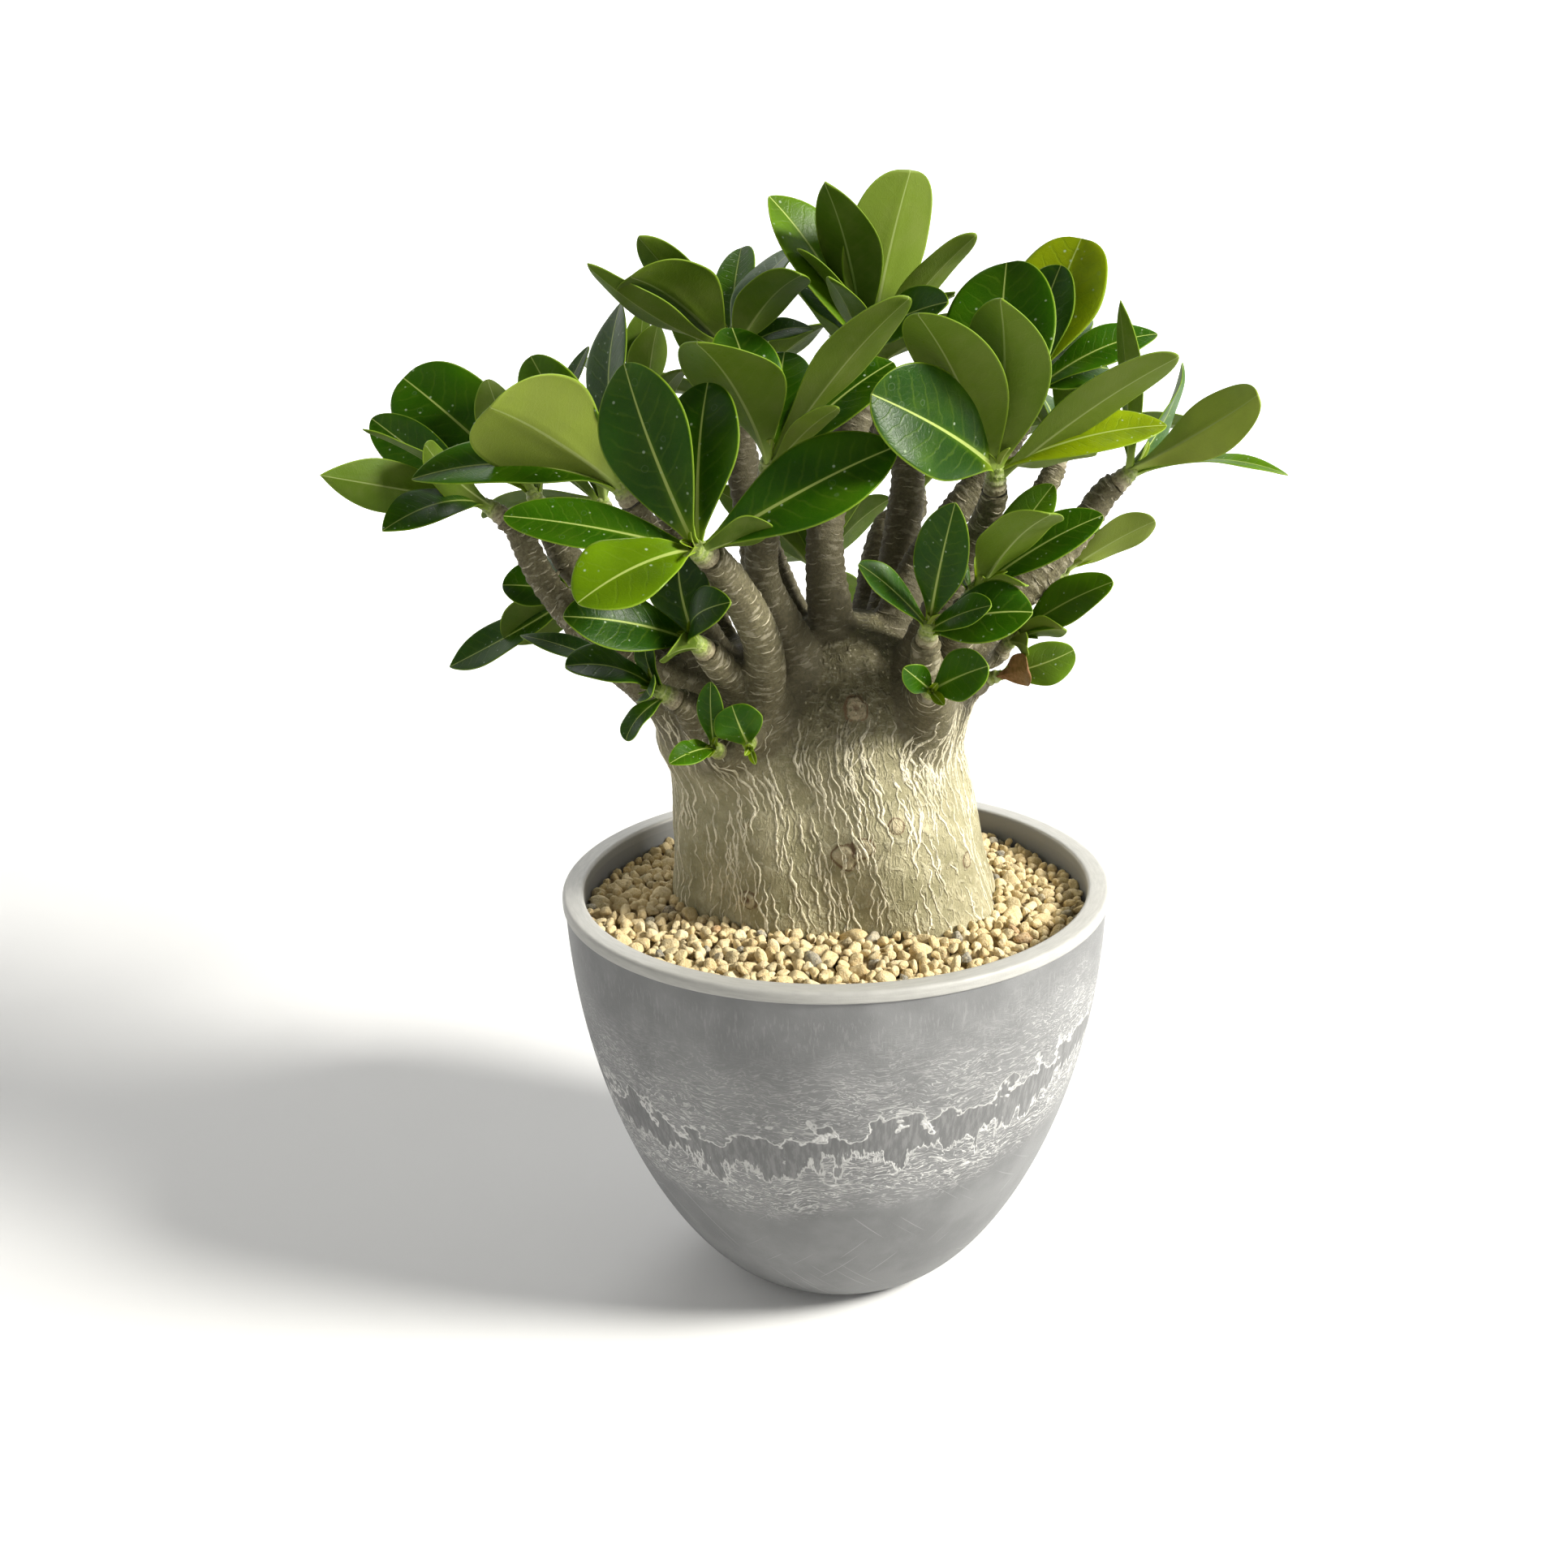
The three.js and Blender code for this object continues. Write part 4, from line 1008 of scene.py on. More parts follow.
def make_pot(material):
    band = POT_HEIGHT - RIM_BAND
    rise = np.linspace(0, 1, 60) ** 1.35
    outside = [(bowl_radius(h), h) for h in rise * band]
    lip = [
        (RIM_RADIUS - 0.05, band + 0.45), (RIM_RADIUS, POT_HEIGHT), (RIM_INNER_RADIUS, POT_HEIGHT),
        (RIM_INNER_RADIUS, band),
    ]
    inside = [(inner_radius(h), h) for h in np.linspace(band - 0.5, FLOOR + 6, 40)]
    well = inner_radius(FLOOR + 6)
    inside += [(well - 2, FLOOR + 1.6), (well - 7, FLOOR), (0.01, FLOOR)]
    foot = [(0.01, FOOT_RISE), (FOOT_RADIUS - 7, FOOT_RISE), (FOOT_RADIUS - 6, 0.0)]
    first = len(foot)
    base = first + len(outside)
    corners = {first: 1.2, base: 0.4, base + 1: 1.3, base + 2: 1.3, 2: 0.4}
    points, quads = lathe(rounded(foot + outside + lip + inside, corners), POT_SIDES)

    # No pot is quite round.
    angle = np.arctan2(points[:, 1], points[:, 0])
    oval = 0.0012 * np.cos(2 * angle + 0.6) * points[:, 2].clip(0, POT_HEIGHT) / POT_HEIGHT
    points[:, :2] *= (1 + oval)[:, None]
    ends = cap_faces(len(points), POT_SIDES)
    points = np.concatenate([points, [[0, 0, FOOT_RISE], [0, 0, FLOOR]]])
    pot = mesh_object("pot_shell", points, [quads, *ends], [material])

    # Four blind discs are let into the foot.
    outline = [(0.01, -1), (DISC_RADIUS, -1), (DISC_RADIUS, DISC_DEPTH), (0.01, DISC_DEPTH)]
    for index in range(4):
        turn = math.radians(45 + 90 * index)
        disc, sides = lathe(rounded(outline, {2: 0.4}), DISC_SIDES)
        disc += [DISC_PLACE * math.cos(turn), DISC_PLACE * math.sin(turn), 0]
        rim = np.arange(DISC_SIDES)[None]
        last = len(disc) - DISC_SIDES
        cutter = mesh_object("cutter", disc, [sides, rim[:, ::-1], last + rim], [])
        cut = pot.modifiers.new("disc", "BOOLEAN")
        cut.operation = "DIFFERENCE"
        cut.solver = "EXACT"
        cut.object = cutter
        mesh = evaluated(pot)
        old = pot.data
        pot.modifiers.clear()
        pot.data = mesh
        bpy.data.meshes.remove(old)
        discard(cutter)
    pot.data.name = "pot_shell"
    pot.data.shade_smooth()
    pot.data.set_sharp_from_angle(angle=math.radians(50))
    return pot


# ------------------------------------------------------------------ soil and grains

GRAIN_KINDS = 10
GRAIN_FLATS = 9
MOST_GRAINS = 3900
MOST_MISSES = 260
GRAIN_TRIES = 12
SMALLEST_GRAIN, LARGEST_GRAIN = 1.45, 3.3
GRAIN_CLOSENESS = 0.84
GRAINS_FROM_RADIUS = 24.0
GRAIN_LEVEL = 107.0
SOIL_SIDES = 128


def icosphere(rounds):
    g = (1 + math.sqrt(5)) / 2
    p = [(-1, g, 0), (1, g, 0), (-1, -g, 0), (1, -g, 0), (0, -1, g), (0, 1, g), (0, -1, -g), (0, 1, -g),
         (g, 0, -1), (g, 0, 1), (-g, 0, -1), (-g, 0, 1)]
    f = [(0, 11, 5), (0, 5, 1), (0, 1, 7), (0, 7, 10), (0, 10, 11), (1, 5, 9), (5, 11, 4), (11, 10, 2),
         (10, 7, 6), (7, 1, 8), (3, 9, 4), (3, 4, 2), (3, 2, 6), (3, 6, 8), (3, 8, 9), (4, 9, 5),
         (2, 4, 11), (6, 2, 10), (8, 6, 7), (9, 8, 1)]
    p = [unit(np.array(q, float)) for q in p]
    for _ in range(rounds):
        middle = {}

        def between(a, b):
            key = (min(a, b), max(a, b))
            if key not in middle:
                middle[key] = len(p)
                p.append(unit(p[a] + p[b]))
            return middle[key]

        f = [t for a, b, c in f for t in (
            (a, between(a, b), between(a, c)), (between(a, b), b, between(b, c)),
            (between(a, c), between(b, c), c), (between(a, b), between(b, c), between(a, c)))]
    return np.array(p), np.array(f)


def grain_kinds():
    """Worn pumice grains: balls cut by soft flats and dented."""
    ball, faces = icosphere(2)
    kinds = []
    for kind in range(GRAIN_KINDS):
        random = np.random.default_rng(500 + kind)
        flats = units(random.normal(size=(GRAIN_FLATS, 3)))
        depth = random.uniform(0.56, 0.9, GRAIN_FLATS)
        reach = ball @ flats.T
        limit = np.where(reach > 0.05, depth / np.maximum(reach, 0.05), 9)
        soft = -np.log(np.exp(-limit * 14).sum(1) + np.exp(-14.0)) / 14
        shape = ball * np.clip(soft, 0.3, 1.05)[:, None]
        dents = 1 + 0.1 * noise3(ball, 1.6, 900 + kind) + 0.05 * noise3(ball, 4.1, 950 + kind)
        shape = shape * dents[:, None]
        shape *= random.uniform([0.95, 0.74, 0.62], [1.25, 1.0, 0.86])
        kinds.append(shape)
    return kinds, faces


def bed_height(x, y):
    """The level that the grains' tops reach: low at the wall, heaped a little against the trunk."""
    radius = np.hypot(x, y) / RIM_INNER_RADIUS
    return 108.2 + 2.4 * (1 - radius**2) + 0.7 * noise3(np.stack([x, y, 0 * x], -1), 1 / 22, 41)


def lay_grains():
    """Drops grains one by one on the soil, each into the lowest of a few places."""
    random = np.random.default_rng(21)
    grains = np.empty((MOST_GRAINS, 4))
    count = misses = 0
    while count < MOST_GRAINS and misses < MOST_MISSES:
        r = float(np.clip(random.gamma(9, 0.255), SMALLEST_GRAIN, LARGEST_GRAIN))
        outer = RIM_INNER_RADIUS - 0.75 * r
        radius = np.sqrt(random.uniform(GRAINS_FROM_RADIUS**2, outer**2, GRAIN_TRIES))
        angle = random.uniform(0, 2 * math.pi, GRAIN_TRIES)
        x, y = radius * np.cos(angle), radius * np.sin(angle)
        over, steep = trunk_place(np.stack([x, y, np.full(GRAIN_TRIES, GRAIN_LEVEL)], 1))
        free = over / steep > 0.35 * r
        if not free.any():
            continue
        x, y = x[free], y[free]
        top = bed_height(x, y)
        z = top - 6.3 + 0.3 * r
        if count:
            xs, ys, zs, rs = grains[:count].T
            d2 = (x[:, None] - xs) ** 2 + (y[:, None] - ys) ** 2
            touch = (GRAIN_CLOSENESS * (r + rs)) ** 2
            on = np.where(d2 < touch, zs + np.sqrt(np.maximum(touch - d2, 0)) * 0.95, -1e9)
            z = np.maximum(z, on.max(1))
        best = np.argmin(z - top)
        if z[best] + 0.55 * r > top[best] + 0.5:
            misses += 1
            continue
        misses = 0
        grains[count] = x[best], y[best], z[best], r
        count += 1
    return grains[:count]


def random_turns(random, count):
    """Turning matrices from quaternions drawn at random."""
    w, x, y, z = units(random.normal(size=(count, 4))).T
    return np.stack([
        np.stack([1 - 2 * (y * y + z * z), 2 * (x * y - z * w), 2 * (x * z + y * w)], 1),
        np.stack([2 * (x * y + z * w), 1 - 2 * (x * x + z * z), 2 * (y * z - x * w)], 1),
        np.stack([2 * (x * z - y * w), 2 * (y * z + x * w), 1 - 2 * (x * x + y * y)], 1),
    ], 1)


def make_soil(grain_material, soil_material):
    random = np.random.default_rng(31)
    grains = lay_grains()
    kinds, faces = grain_kinds()
    turns = random_turns(random, len(grains))
    which = random.integers(0, GRAIN_KINDS, len(grains))
    shade = random.uniform(size=len(grains))
    points, triangles, tones, base = [], [], [], 0
    for (x, y, z, r), turn, kind, tone in zip(grains, turns, which, shade):
        p = kinds[kind] @ turn.T * r * 1.12 + np.array([x, y, z])
        points.append(p)
        triangles.append(faces + base)
        tones.append(np.full(len(p), tone))
        base += len(p)
    grain_count = sum(len(t) for t in triangles)

    # The soil that fills the pot under them.
    wall = RIM_INNER_RADIUS - 0.5
    heights = np.linspace(FLOOR + 0.4, 98, 14)
    profile = [(min(inner_radius(h) - 0.5, wall), h) for h in heights]
    radii = np.linspace(wall, 0.5, 40)
    profile += [(r, 101.6 + 2.2 * (1 - (r / wall) ** 2)) for r in radii]
    p, quads = lathe(profile, SOIL_SIDES)
    rough = noise3(p, 1 / 3.0, 61) * (p[:, 2] > 100)
    p[:, 2] += 0.9 * rough
    ends = np.concatenate(cap_faces(len(p), SOIL_SIDES)) + base
    p = np.concatenate([p, [[0, 0, FLOOR + 0.4], [0, 0, 103.8]]])
    points.append(p)
    tones.append(np.full(len(p), 0.5))
    slots = np.repeat([0, 1], [grain_count, len(ends) + len(quads)])
    return mesh_object(
        "grains_and_soil", np.concatenate(points), [np.concatenate([*triangles, ends]), quads + base],
        [grain_material, soil_material], {"grain_tone": np.concatenate(tones)}, slots)


# ------------------------------------------------------------------ materials


class Value:
    """A shader socket that takes part in sums."""

    def __init__(self, paint, socket):
        self.paint, self.socket = paint, socket

    def __abs__(self):
        return self.paint.math("ABSOLUTE", self)

    def __add__(self, other):
        return self.paint.math("ADD", self, other)

    def __radd__(self, other):
        return self.paint.math("ADD", other, self)

    def __sub__(self, other):
        return self.paint.math("SUBTRACT", self, other)

    def __rsub__(self, other):
        return self.paint.math("SUBTRACT", other, self)

    def __mul__(self, other):
        return self.paint.math("MULTIPLY", self, other)

    def __rmul__(self, other):
        return self.paint.math("MULTIPLY", other, self)

    def __truediv__(self, other):
        return self.paint.math("DIVIDE", self, other)




class Paint:
    """Builds a material's nodes. What goes into one may be a number, a colour or a Value."""

    def __init__(self, name):
        self.material = bpy.data.materials.new(name)
        self.material.use_nodes = True
        self.material.node_tree.nodes.clear()

    def node(self, kind, inputs=(), **settings):
        """Adds a node and returns its outputs. Inputs go by order, or by number or name in a dict."""
        node = self.material.node_tree.nodes.new("ShaderNode" + kind)
        for name, value in settings.items():
            setattr(node, name, value)
        for key, value in inputs.items() if isinstance(inputs, dict) else enumerate(inputs):
            socket = node.inputs[key]
            if isinstance(value, Value):
                self.material.node_tree.links.new(value.socket, socket)
            elif value is not None:
                is_colour = socket.type == "RGBA" and len(value) == 3
                socket.default_value = (*value, 1.0) if is_colour else value
        return [Value(self, socket) for socket in node.outputs]

    def math(self, operation, *values):
        return self.node("Math", values, operation=operation)[0]

    def vector(self, operation, a, b=None, scale=None):
        outputs = self.node("VectorMath", {0: a, 1: b, 3: scale}, operation=operation)
        return outputs[1 if operation == "LENGTH" else 0]

    def attribute(self, name, vector=True):
        return self.node("Attribute", attribute_name=name)[1 if vector else 2]

    def separate(self, vector):
        return self.node("SeparateXYZ", [vector])

    def combine(self, *values):
        return self.node("CombineXYZ", values)[0]

    def position(self):
        """The place in the object, in mm."""
        return self.vector("SCALE", self.node("TexCoord")[3], scale=1 / MM)

    def noise(self, vector, scale, detail=3.0, roughness=0.55, distortion=0.0):
        return self.node("TexNoise", {
            "Vector": vector, "Scale": scale, "Detail": detail, "Roughness": roughness,
            "Distortion": distortion})[0]

    def sway(self, vector, scale, detail, reach):
        """Three noises round 0, to bend a place by."""
        noise = self.node("TexNoise", {"Vector": vector, "Scale": scale, "Detail": detail})[1]
        return self.vector("SCALE", self.vector("SUBTRACT", noise, (0.5, 0.5, 0.5)), scale=reach)

    def cells(self, vector, scale, feature="F1"):
        return self.node("TexVoronoi", {"Vector": vector, "Scale": scale}, feature=feature)

    def step(self, value, low, high, to_low=0.0, to_high=1.0):
        """A smooth change from to_low to to_high as value goes from low to high."""
        inputs = (value, low, high, to_low, to_high)
        return self.node("MapRange", inputs, interpolation_type="SMOOTHSTEP")[0]

    def mix_value(self, factor, a, b):
        return self.node("Mix", {0: factor, 2: a, 3: b})[0]

    def mix(self, factor, a, b):
        return self.node("Mix", {0: factor, 6: a, 7: b}, data_type="RGBA")[2]

    def layers(self, colour, *coats):
        """Lays coats, each a share and a colour, over a colour."""
        for share, coat in coats:
            colour = self.mix(share, colour, coat)
        return colour

    def ramp(self, value, stops):
        output = self.node("ValToRGB", [value])[0]
        elements = output.socket.node.color_ramp.elements
        while len(elements) < len(stops):
            elements.new(0.5)
        for element, (place, colour) in zip(elements, stops):
            element.position = place
            element.color = (*colour, 1)
        return output

    def bump(self, height, depth, strength=1.0):
        """Relief from a height of 0 to 1 that is depth mm deep."""
        return self.node("Bump", {"Height": height, "Distance": depth * MM, "Strength": strength})[0]

    def finish(self, shader):
        self.node("OutputMaterial", {"Surface": shader})
        return self.material

    def surface(self, colour, roughness, normal, specular=0.5, through=None, share=None):
        """A plain surface. Light of the colour through, if any, comes through a share of it."""
        shader = self.node("BsdfPrincipled", {
            "Base Color": colour, "Roughness": roughness, "Normal": normal,
            "Specular IOR Level": specular})[0]
        if through is not None:
            glow = self.node("BsdfTranslucent", {"Color": through, "Normal": normal})[0]
            shader = self.node("MixShader", (share, shader, glow))[0]
        return self.finish(shader)


def leaf_material():
    m = Paint("adenium_leaf")
    place = m.attribute("leaf_place")
    x, v, half = m.separate(place)
    tone, under, seed = m.separate(m.attribute("leaf_tone"))
    share = m.attribute("leaf_share", vector=False)
    side = abs(x)
    across = side / m.math("MAXIMUM", half, 0.2)
    spot = m.vector("ADD", m.combine(x, v, 0.0), m.combine(seed, seed * 1.7, seed))

    # Veins leave the midrib at a wide angle and bend towards the tip.
    wobble = (m.noise(spot, 0.22, 2.0) - 0.5) * 3.2
    sweep = side * 0.5 + side * side * 0.032
    flip = m.math("GREATER_THAN", x, 0.0) * 2.1
    run = v - sweep + wobble + flip
    phase = m.math("FRACT", (run + 100.0) / 4.3)
    off = abs(phase - 0.5)
    vein = m.step(off, 0.035, 0.11, 1.0, 0.0)
    reach = m.step(across, 0.55, 0.95, 1.0, 0.0) * m.step(across, 0.03, 0.16)
    vein = vein * reach
    net = m.cells(spot, 0.75, feature="DISTANCE_TO_EDGE")[0]
    net = m.step(net, 0.02, 0.1, 1.0, 0.0)
    # The midrib narrows towards the tip.
    rib_half = 0.15 + (1.0 - share) * 0.42
    rib_edge = side / rib_half
    rib = m.step(rib_edge, 0.65, 1.25, 1.0, 0.0)
    halo = m.step(rib_edge, 1.0, 4.5, 1.0, 0.0)
    foot = m.step(share, 0.02, 0.2, 1.0, 0.0)
    edge = m.step(half - side, 0.12, 0.5, 1.0, 0.0)

    patch = m.noise(spot, 0.09, 3.0)
    fine = m.noise(spot, 1.4, 4.0, 0.6)
    upper = m.ramp(tone, [
        (0.0, (0.008, 0.038, 0.0)), (0.3, (0.020, 0.078, 0.0)), (0.6, (0.068, 0.150, 0.001)),
        (1.0, (0.25, 0.31, 0.003))])
    upper = m.layers(
        upper,
        (m.step(patch, 0.4, 0.68, 0.0, 0.35), (0.05, 0.105, 0.002)),
        (fine * 0.2, (0.014, 0.04, 0.001)))
    # Painted sheen: the upper side is lighter towards the edges and in broad patches, standing in for
    # soft gloss.
    painted_sheen = m.step(across, 0.3, 1.0, 0.0, 0.28) + m.step(m.noise(spot, 0.05, 1.0), 0.42, 0.62, 0.0, 0.3)
    upper = m.layers(
        upper,
        (painted_sheen, m.vector("SCALE", upper, scale=2.0)),
        (vein * 0.15, (0.15, 0.24, 0.02)),
        (net * 0.045, (0.15, 0.22, 0.02)))
    bright = halo * m.step(share, 0.0, 0.75, 0.5, 0.08)
    upper = m.layers(
        upper,
        (bright, (0.11, 0.22, 0.003)),
        (rib * 0.85, (0.44, 0.53, 0.14)),
        (foot * 0.6, (0.26, 0.34, 0.02)))
    # Lime specks and the marks of dried drops.
    dots = m.cells(m.vector("SCALE", spot, scale=0.42), 1.0)
    near = m.math("GREATER_THAN", m.separate(dots[1])[0], 0.62)
    speck = m.step(dots[0], 0.07, 0.2, 1.0, 0.0) * near
    drops = m.cells(m.vector("SCALE", spot, scale=0.2), 1.0)
    drop_edge = abs(drops[0] + fine * 0.1 - 0.22)
    drop = (
        m.step(drop_edge, 0.0, 0.03, 1.0, 0.0)
        * m.math("GREATER_THAN", m.separate(drops[1])[1], 0.55))
    upper = m.layers(
        upper,
        (speck * 0.6, (0.5, 0.6, 0.42)),
        (drop * 0.12, (0.35, 0.45, 0.28)))

    lower = m.ramp(tone, [
        (0.0, (0.055, 0.100, 0.004)), (0.35, (0.085, 0.145, 0.005)), (0.6, (0.15, 0.215, 0.02)),
        (1.0, (0.34, 0.395, 0.07))])
    lower = m.layers(
        lower,
        (m.step(patch, 0.38, 0.7, 0.0, 0.3), (0.21, 0.24, 0.06)),
        (fine * 0.2, (0.1, 0.15, 0.02)),
        (vein * 0.04, (0.26, 0.33, 0.08)),
        (rib * 0.6, (0.38, 0.44, 0.16)),
        (foot * 0.7, (0.36, 0.48, 0.1)))

    colour = m.mix(under, upper, lower)
    # The margin is mixed towards pale yellow-green: partly the leaf's own colour, partly a painted glow
    # of light shining through.
    colour = m.mix(edge * 0.6, colour, (0.28, 0.42, 0.03))
    dry = m.math("LESS_THAN", tone, -0.5)
    brown = m.ramp(m.noise(spot, 0.4, 4.0), [(0.3, (0.16, 0.07, 0.03)), (0.7, (0.36, 0.19, 0.09))])
    colour = m.mix(dry, colour, brown)
    gloss = m.noise(spot, 0.5, 4.0, 0.65) * 0.16 + m.mix_value(under, 0.27, 0.45)
    gloss = gloss + speck * 0.3
    ridges = vein * m.mix_value(under, 0.3, 0.08) + (fine * 0.35 + net * 0.12)
    sign = m.mix_value(under, -1.0, 1.0)
    normal = m.bump(ridges * sign, 0.13, 0.8)
    glow = m.mix(0.5, colour, (0.24, 0.45, 0.005))
    return m.surface(colour, gloss, normal, 0.18, through=glow, share=0.27)


def shoot_material():
    m = Paint("green_shoot")
    place = m.position()
    share = m.attribute("leaf_share", vector=False)
    _, v, _ = m.separate(m.attribute("leaf_place"))
    fine = m.noise(place, 1.1, 4.0)
    bands = m.math("SINE", v * 3.4 + fine * 5.0)
    green = m.mix(m.step(fine, 0.35, 0.65), (0.15, 0.21, 0.03), (0.28, 0.35, 0.07))
    bark = m.mix(m.step(fine, 0.35, 0.65), (0.16, 0.13, 0.07), (0.30, 0.26, 0.16))
    colour = m.mix(m.step(share + fine * 0.3, 0.35, 0.85), bark, green)
    colour = m.mix(m.step(bands, 0.3, 1.0, 0.0, 0.3), colour, (0.42, 0.42, 0.24))
    normal = m.bump(fine + bands * 0.4, 0.25)
    return m.surface(colour, 0.42 + fine * 0.2, normal)


def bark_material():
    m = Paint("adenium_bark")
    place = m.position()
    px, py, pz = m.separate(place)
    veins, scar, limb = m.separate(m.attribute("bark_marks"))
    knot, pit, _ = m.separate(m.attribute("bark_knots"))
    s, c, d = m.separate(m.attribute("bark_place"))

    broad = m.noise(place, 0.045, 3.0)
    patch = m.noise(place, 0.16, 4.0, 0.6)
    fine = m.noise(place, 1.3, 4.0, 0.65)
    grit = m.noise(place, 3.6, 3.0, 0.6)
    stretched = m.combine(px, py, pz * 0.3)
    tangle = m.vector("ADD", stretched, m.sway(place, 0.22, 2.0, 2.6))
    web = m.cells(tangle, 0.42, feature="DISTANCE_TO_EDGE")[0]
    web = m.step(web, 0.03, 0.16, 1.0, 0.0)
    web_small = m.cells(m.vector("ADD", tangle, (7.0, 3.0, 1.0)), 0.85, feature="DISTANCE_TO_EDGE")[0]
    web_small = m.step(web_small, 0.03, 0.2, 1.0, 0.0)
    broken = m.step(m.noise(place, 0.35, 3.0), 0.42, 0.58)
    network = m.math("MAXIMUM", web * broken, web_small * (0.4 * m.step(patch, 0.4, 0.6)))
    high = m.step(pz + patch * 14.0, 148.0, 180.0)
    bole = 1.0 - limb

    low_bark = m.mix(m.step(patch, 0.3, 0.7), (0.25, 0.228, 0.128), (0.41, 0.372, 0.228))
    # The upper trunk is darker: partly its own older bark, partly painted shade from the crown above.
    high_bark_and_shade = m.mix(m.step(patch, 0.3, 0.7), (0.125, 0.113, 0.05), (0.215, 0.193, 0.095))
    colour = m.mix(high, low_bark, high_bark_and_shade)
    colour = m.mix(m.step(broad, 0.4, 0.65, 0.0, 0.35), colour, (0.20, 0.19, 0.09))
    limb_bark = m.mix(m.step(fine, 0.35, 0.65), (0.06, 0.052, 0.026), (0.15, 0.134, 0.075))
    colour = m.mix(limb * 0.85, colour, limb_bark)
    pale = m.mix(m.step(fine, 0.3, 0.7), (0.66, 0.60, 0.42), (0.86, 0.80, 0.62))
    fade = m.step(m.noise(place, 0.12, 2.0), 0.34, 0.58, 0.4, 0.95)
    colour = m.layers(
        colour,
        (m.step(veins, 0.3, 0.9) * fade, pale),
        (network * bole * m.step(high, 0.0, 1.0, 0.2, 0.16), pale))
    mottle = m.noise(place, 0.42, 5.0, 0.68)
    colour = m.layers(
        colour,
        (m.step(mottle, 0.36, 0.5, 0.6, 0.0) * high, (0.05, 0.04, 0.018)),
        (m.step(mottle, 0.53, 0.62, 0.0, 0.4) * (high * bole), (0.5, 0.45, 0.3)))
    flat = m.combine(px * 0.45, py * 0.45, pz * 1.5)
    streak = m.step(m.noise(flat, 1.0, 3.0, 0.6), 0.54, 0.68)
    colour = m.mix(streak * high * (bole * 0.35), colour, pale)
    # Leaf scars on the limbs are pale, with a dark line under each.
    dashes = m.combine(s * 0.85, c * 0.26, d * 0.26)
    dash = m.noise(dashes, 1.1, 2.0, 0.5)
    colour = m.layers(
        colour,
        (m.step(dash, 0.55, 0.66) * limb * 0.4, (0.46, 0.42, 0.31)),
        (m.step(scar, 0.2, 0.8) * m.step(fine, 0.3, 0.6, 0.5, 0.9), (0.6, 0.54, 0.39)),
        (m.step(dash, 0.32, 0.4, 1.0, 0.0) * (limb * 0.4), (0.09, 0.075, 0.045)))
    # Painted shade: dark where the upper limbs merge into the trunk, in the creases between them.
    painted_crease_shade = limb * bole * (high * 2.4)
    colour = m.mix(painted_crease_shade, colour, (0.06, 0.05, 0.025))
    # Painted shade: the upper bark darkens towards the trunk's axis, inside the crown where the limbs
    # shade it.
    depth = m.vector("LENGTH", m.combine(px, py, 0.0))
    painted_crown_shade = m.step(depth, 20.0, 52.0, 0.55, 0.0) * high
    colour = m.layers(
        colour,
        (painted_crown_shade, (0.045, 0.038, 0.02)),
        (grit * 0.22, (0.14, 0.12, 0.07)),
        (m.step(knot, 0.2, 0.8) * m.step(fine, 0.35, 0.6, 0.2, 0.6), (0.42, 0.34, 0.22)),
        (m.step(pit, 0.15, 0.8), (0.12, 0.07, 0.035)))
    flecks = m.cells(m.combine(px, py, pz * 0.55), 0.8)
    chosen = m.math("GREATER_THAN", m.separate(flecks[1])[0], 0.6)
    fleck = m.step(flecks[0], 0.12, 0.26, 1.0, 0.0) * chosen
    colour = m.mix(fleck * bole * 0.55, colour, (0.56, 0.5, 0.34))
    pits = m.step(fine, 0.42, 0.3) * m.mix_value(high, 0.35, 0.6)
    colour = m.mix(pits, colour, (0.085, 0.072, 0.038))
    relief = network * bole + (fine * 0.8 + (grit * 0.4 + dash * (limb * 1.2)))
    normal = m.bump(relief, 0.34, 0.95)
    rough = 0.52 + fine * 0.25
    return m.surface(colour, rough, normal, 0.25)


def grain_material():
    m = Paint("pumice_grain")
    tone = m.attribute("grain_tone", vector=False)
    place = m.position()
    fine = m.noise(place, 1.6, 5.0, 0.65)
    pores = m.cells(place, 2.4)[0]
    colour = m.ramp(tone, [
        (0.0, (0.70, 0.56, 0.31)), (0.25, (0.58, 0.44, 0.21)), (0.45, (0.76, 0.63, 0.38)),
        (0.62, (0.47, 0.34, 0.15)), (0.75, (0.64, 0.49, 0.25)), (0.95, (0.38, 0.31, 0.17)),
        (0.975, (0.24, 0.23, 0.20)), (0.992, (0.12, 0.12, 0.11)), (1.0, (0.55, 0.27, 0.05))])
    colour = m.layers(
        colour,
        (m.step(fine, 0.35, 0.7, 0.0, 0.4), (0.88, 0.77, 0.52)),
        (m.step(pores, 0.05, 0.2, 0.4, 0.0), (0.3, 0.22, 0.12)),
        (m.step(m.noise(place, 0.7, 3.0), 0.5, 0.7) * 0.3, (0.42, 0.31, 0.16)))
    relief = fine + pores * 0.5
    return m.surface(colour, 0.85, m.bump(relief, 0.35, 0.9), 0.3)


def soil_material():
    m = Paint("damp_soil")
    place = m.position()
    fine = m.noise(place, 0.9, 5.0)
    colour = m.ramp(fine, [(0.3, (0.05, 0.035, 0.02)), (0.7, (0.18, 0.13, 0.075))])
    return m.surface(colour, 0.95, m.bump(fine, 0.8), 0.2)


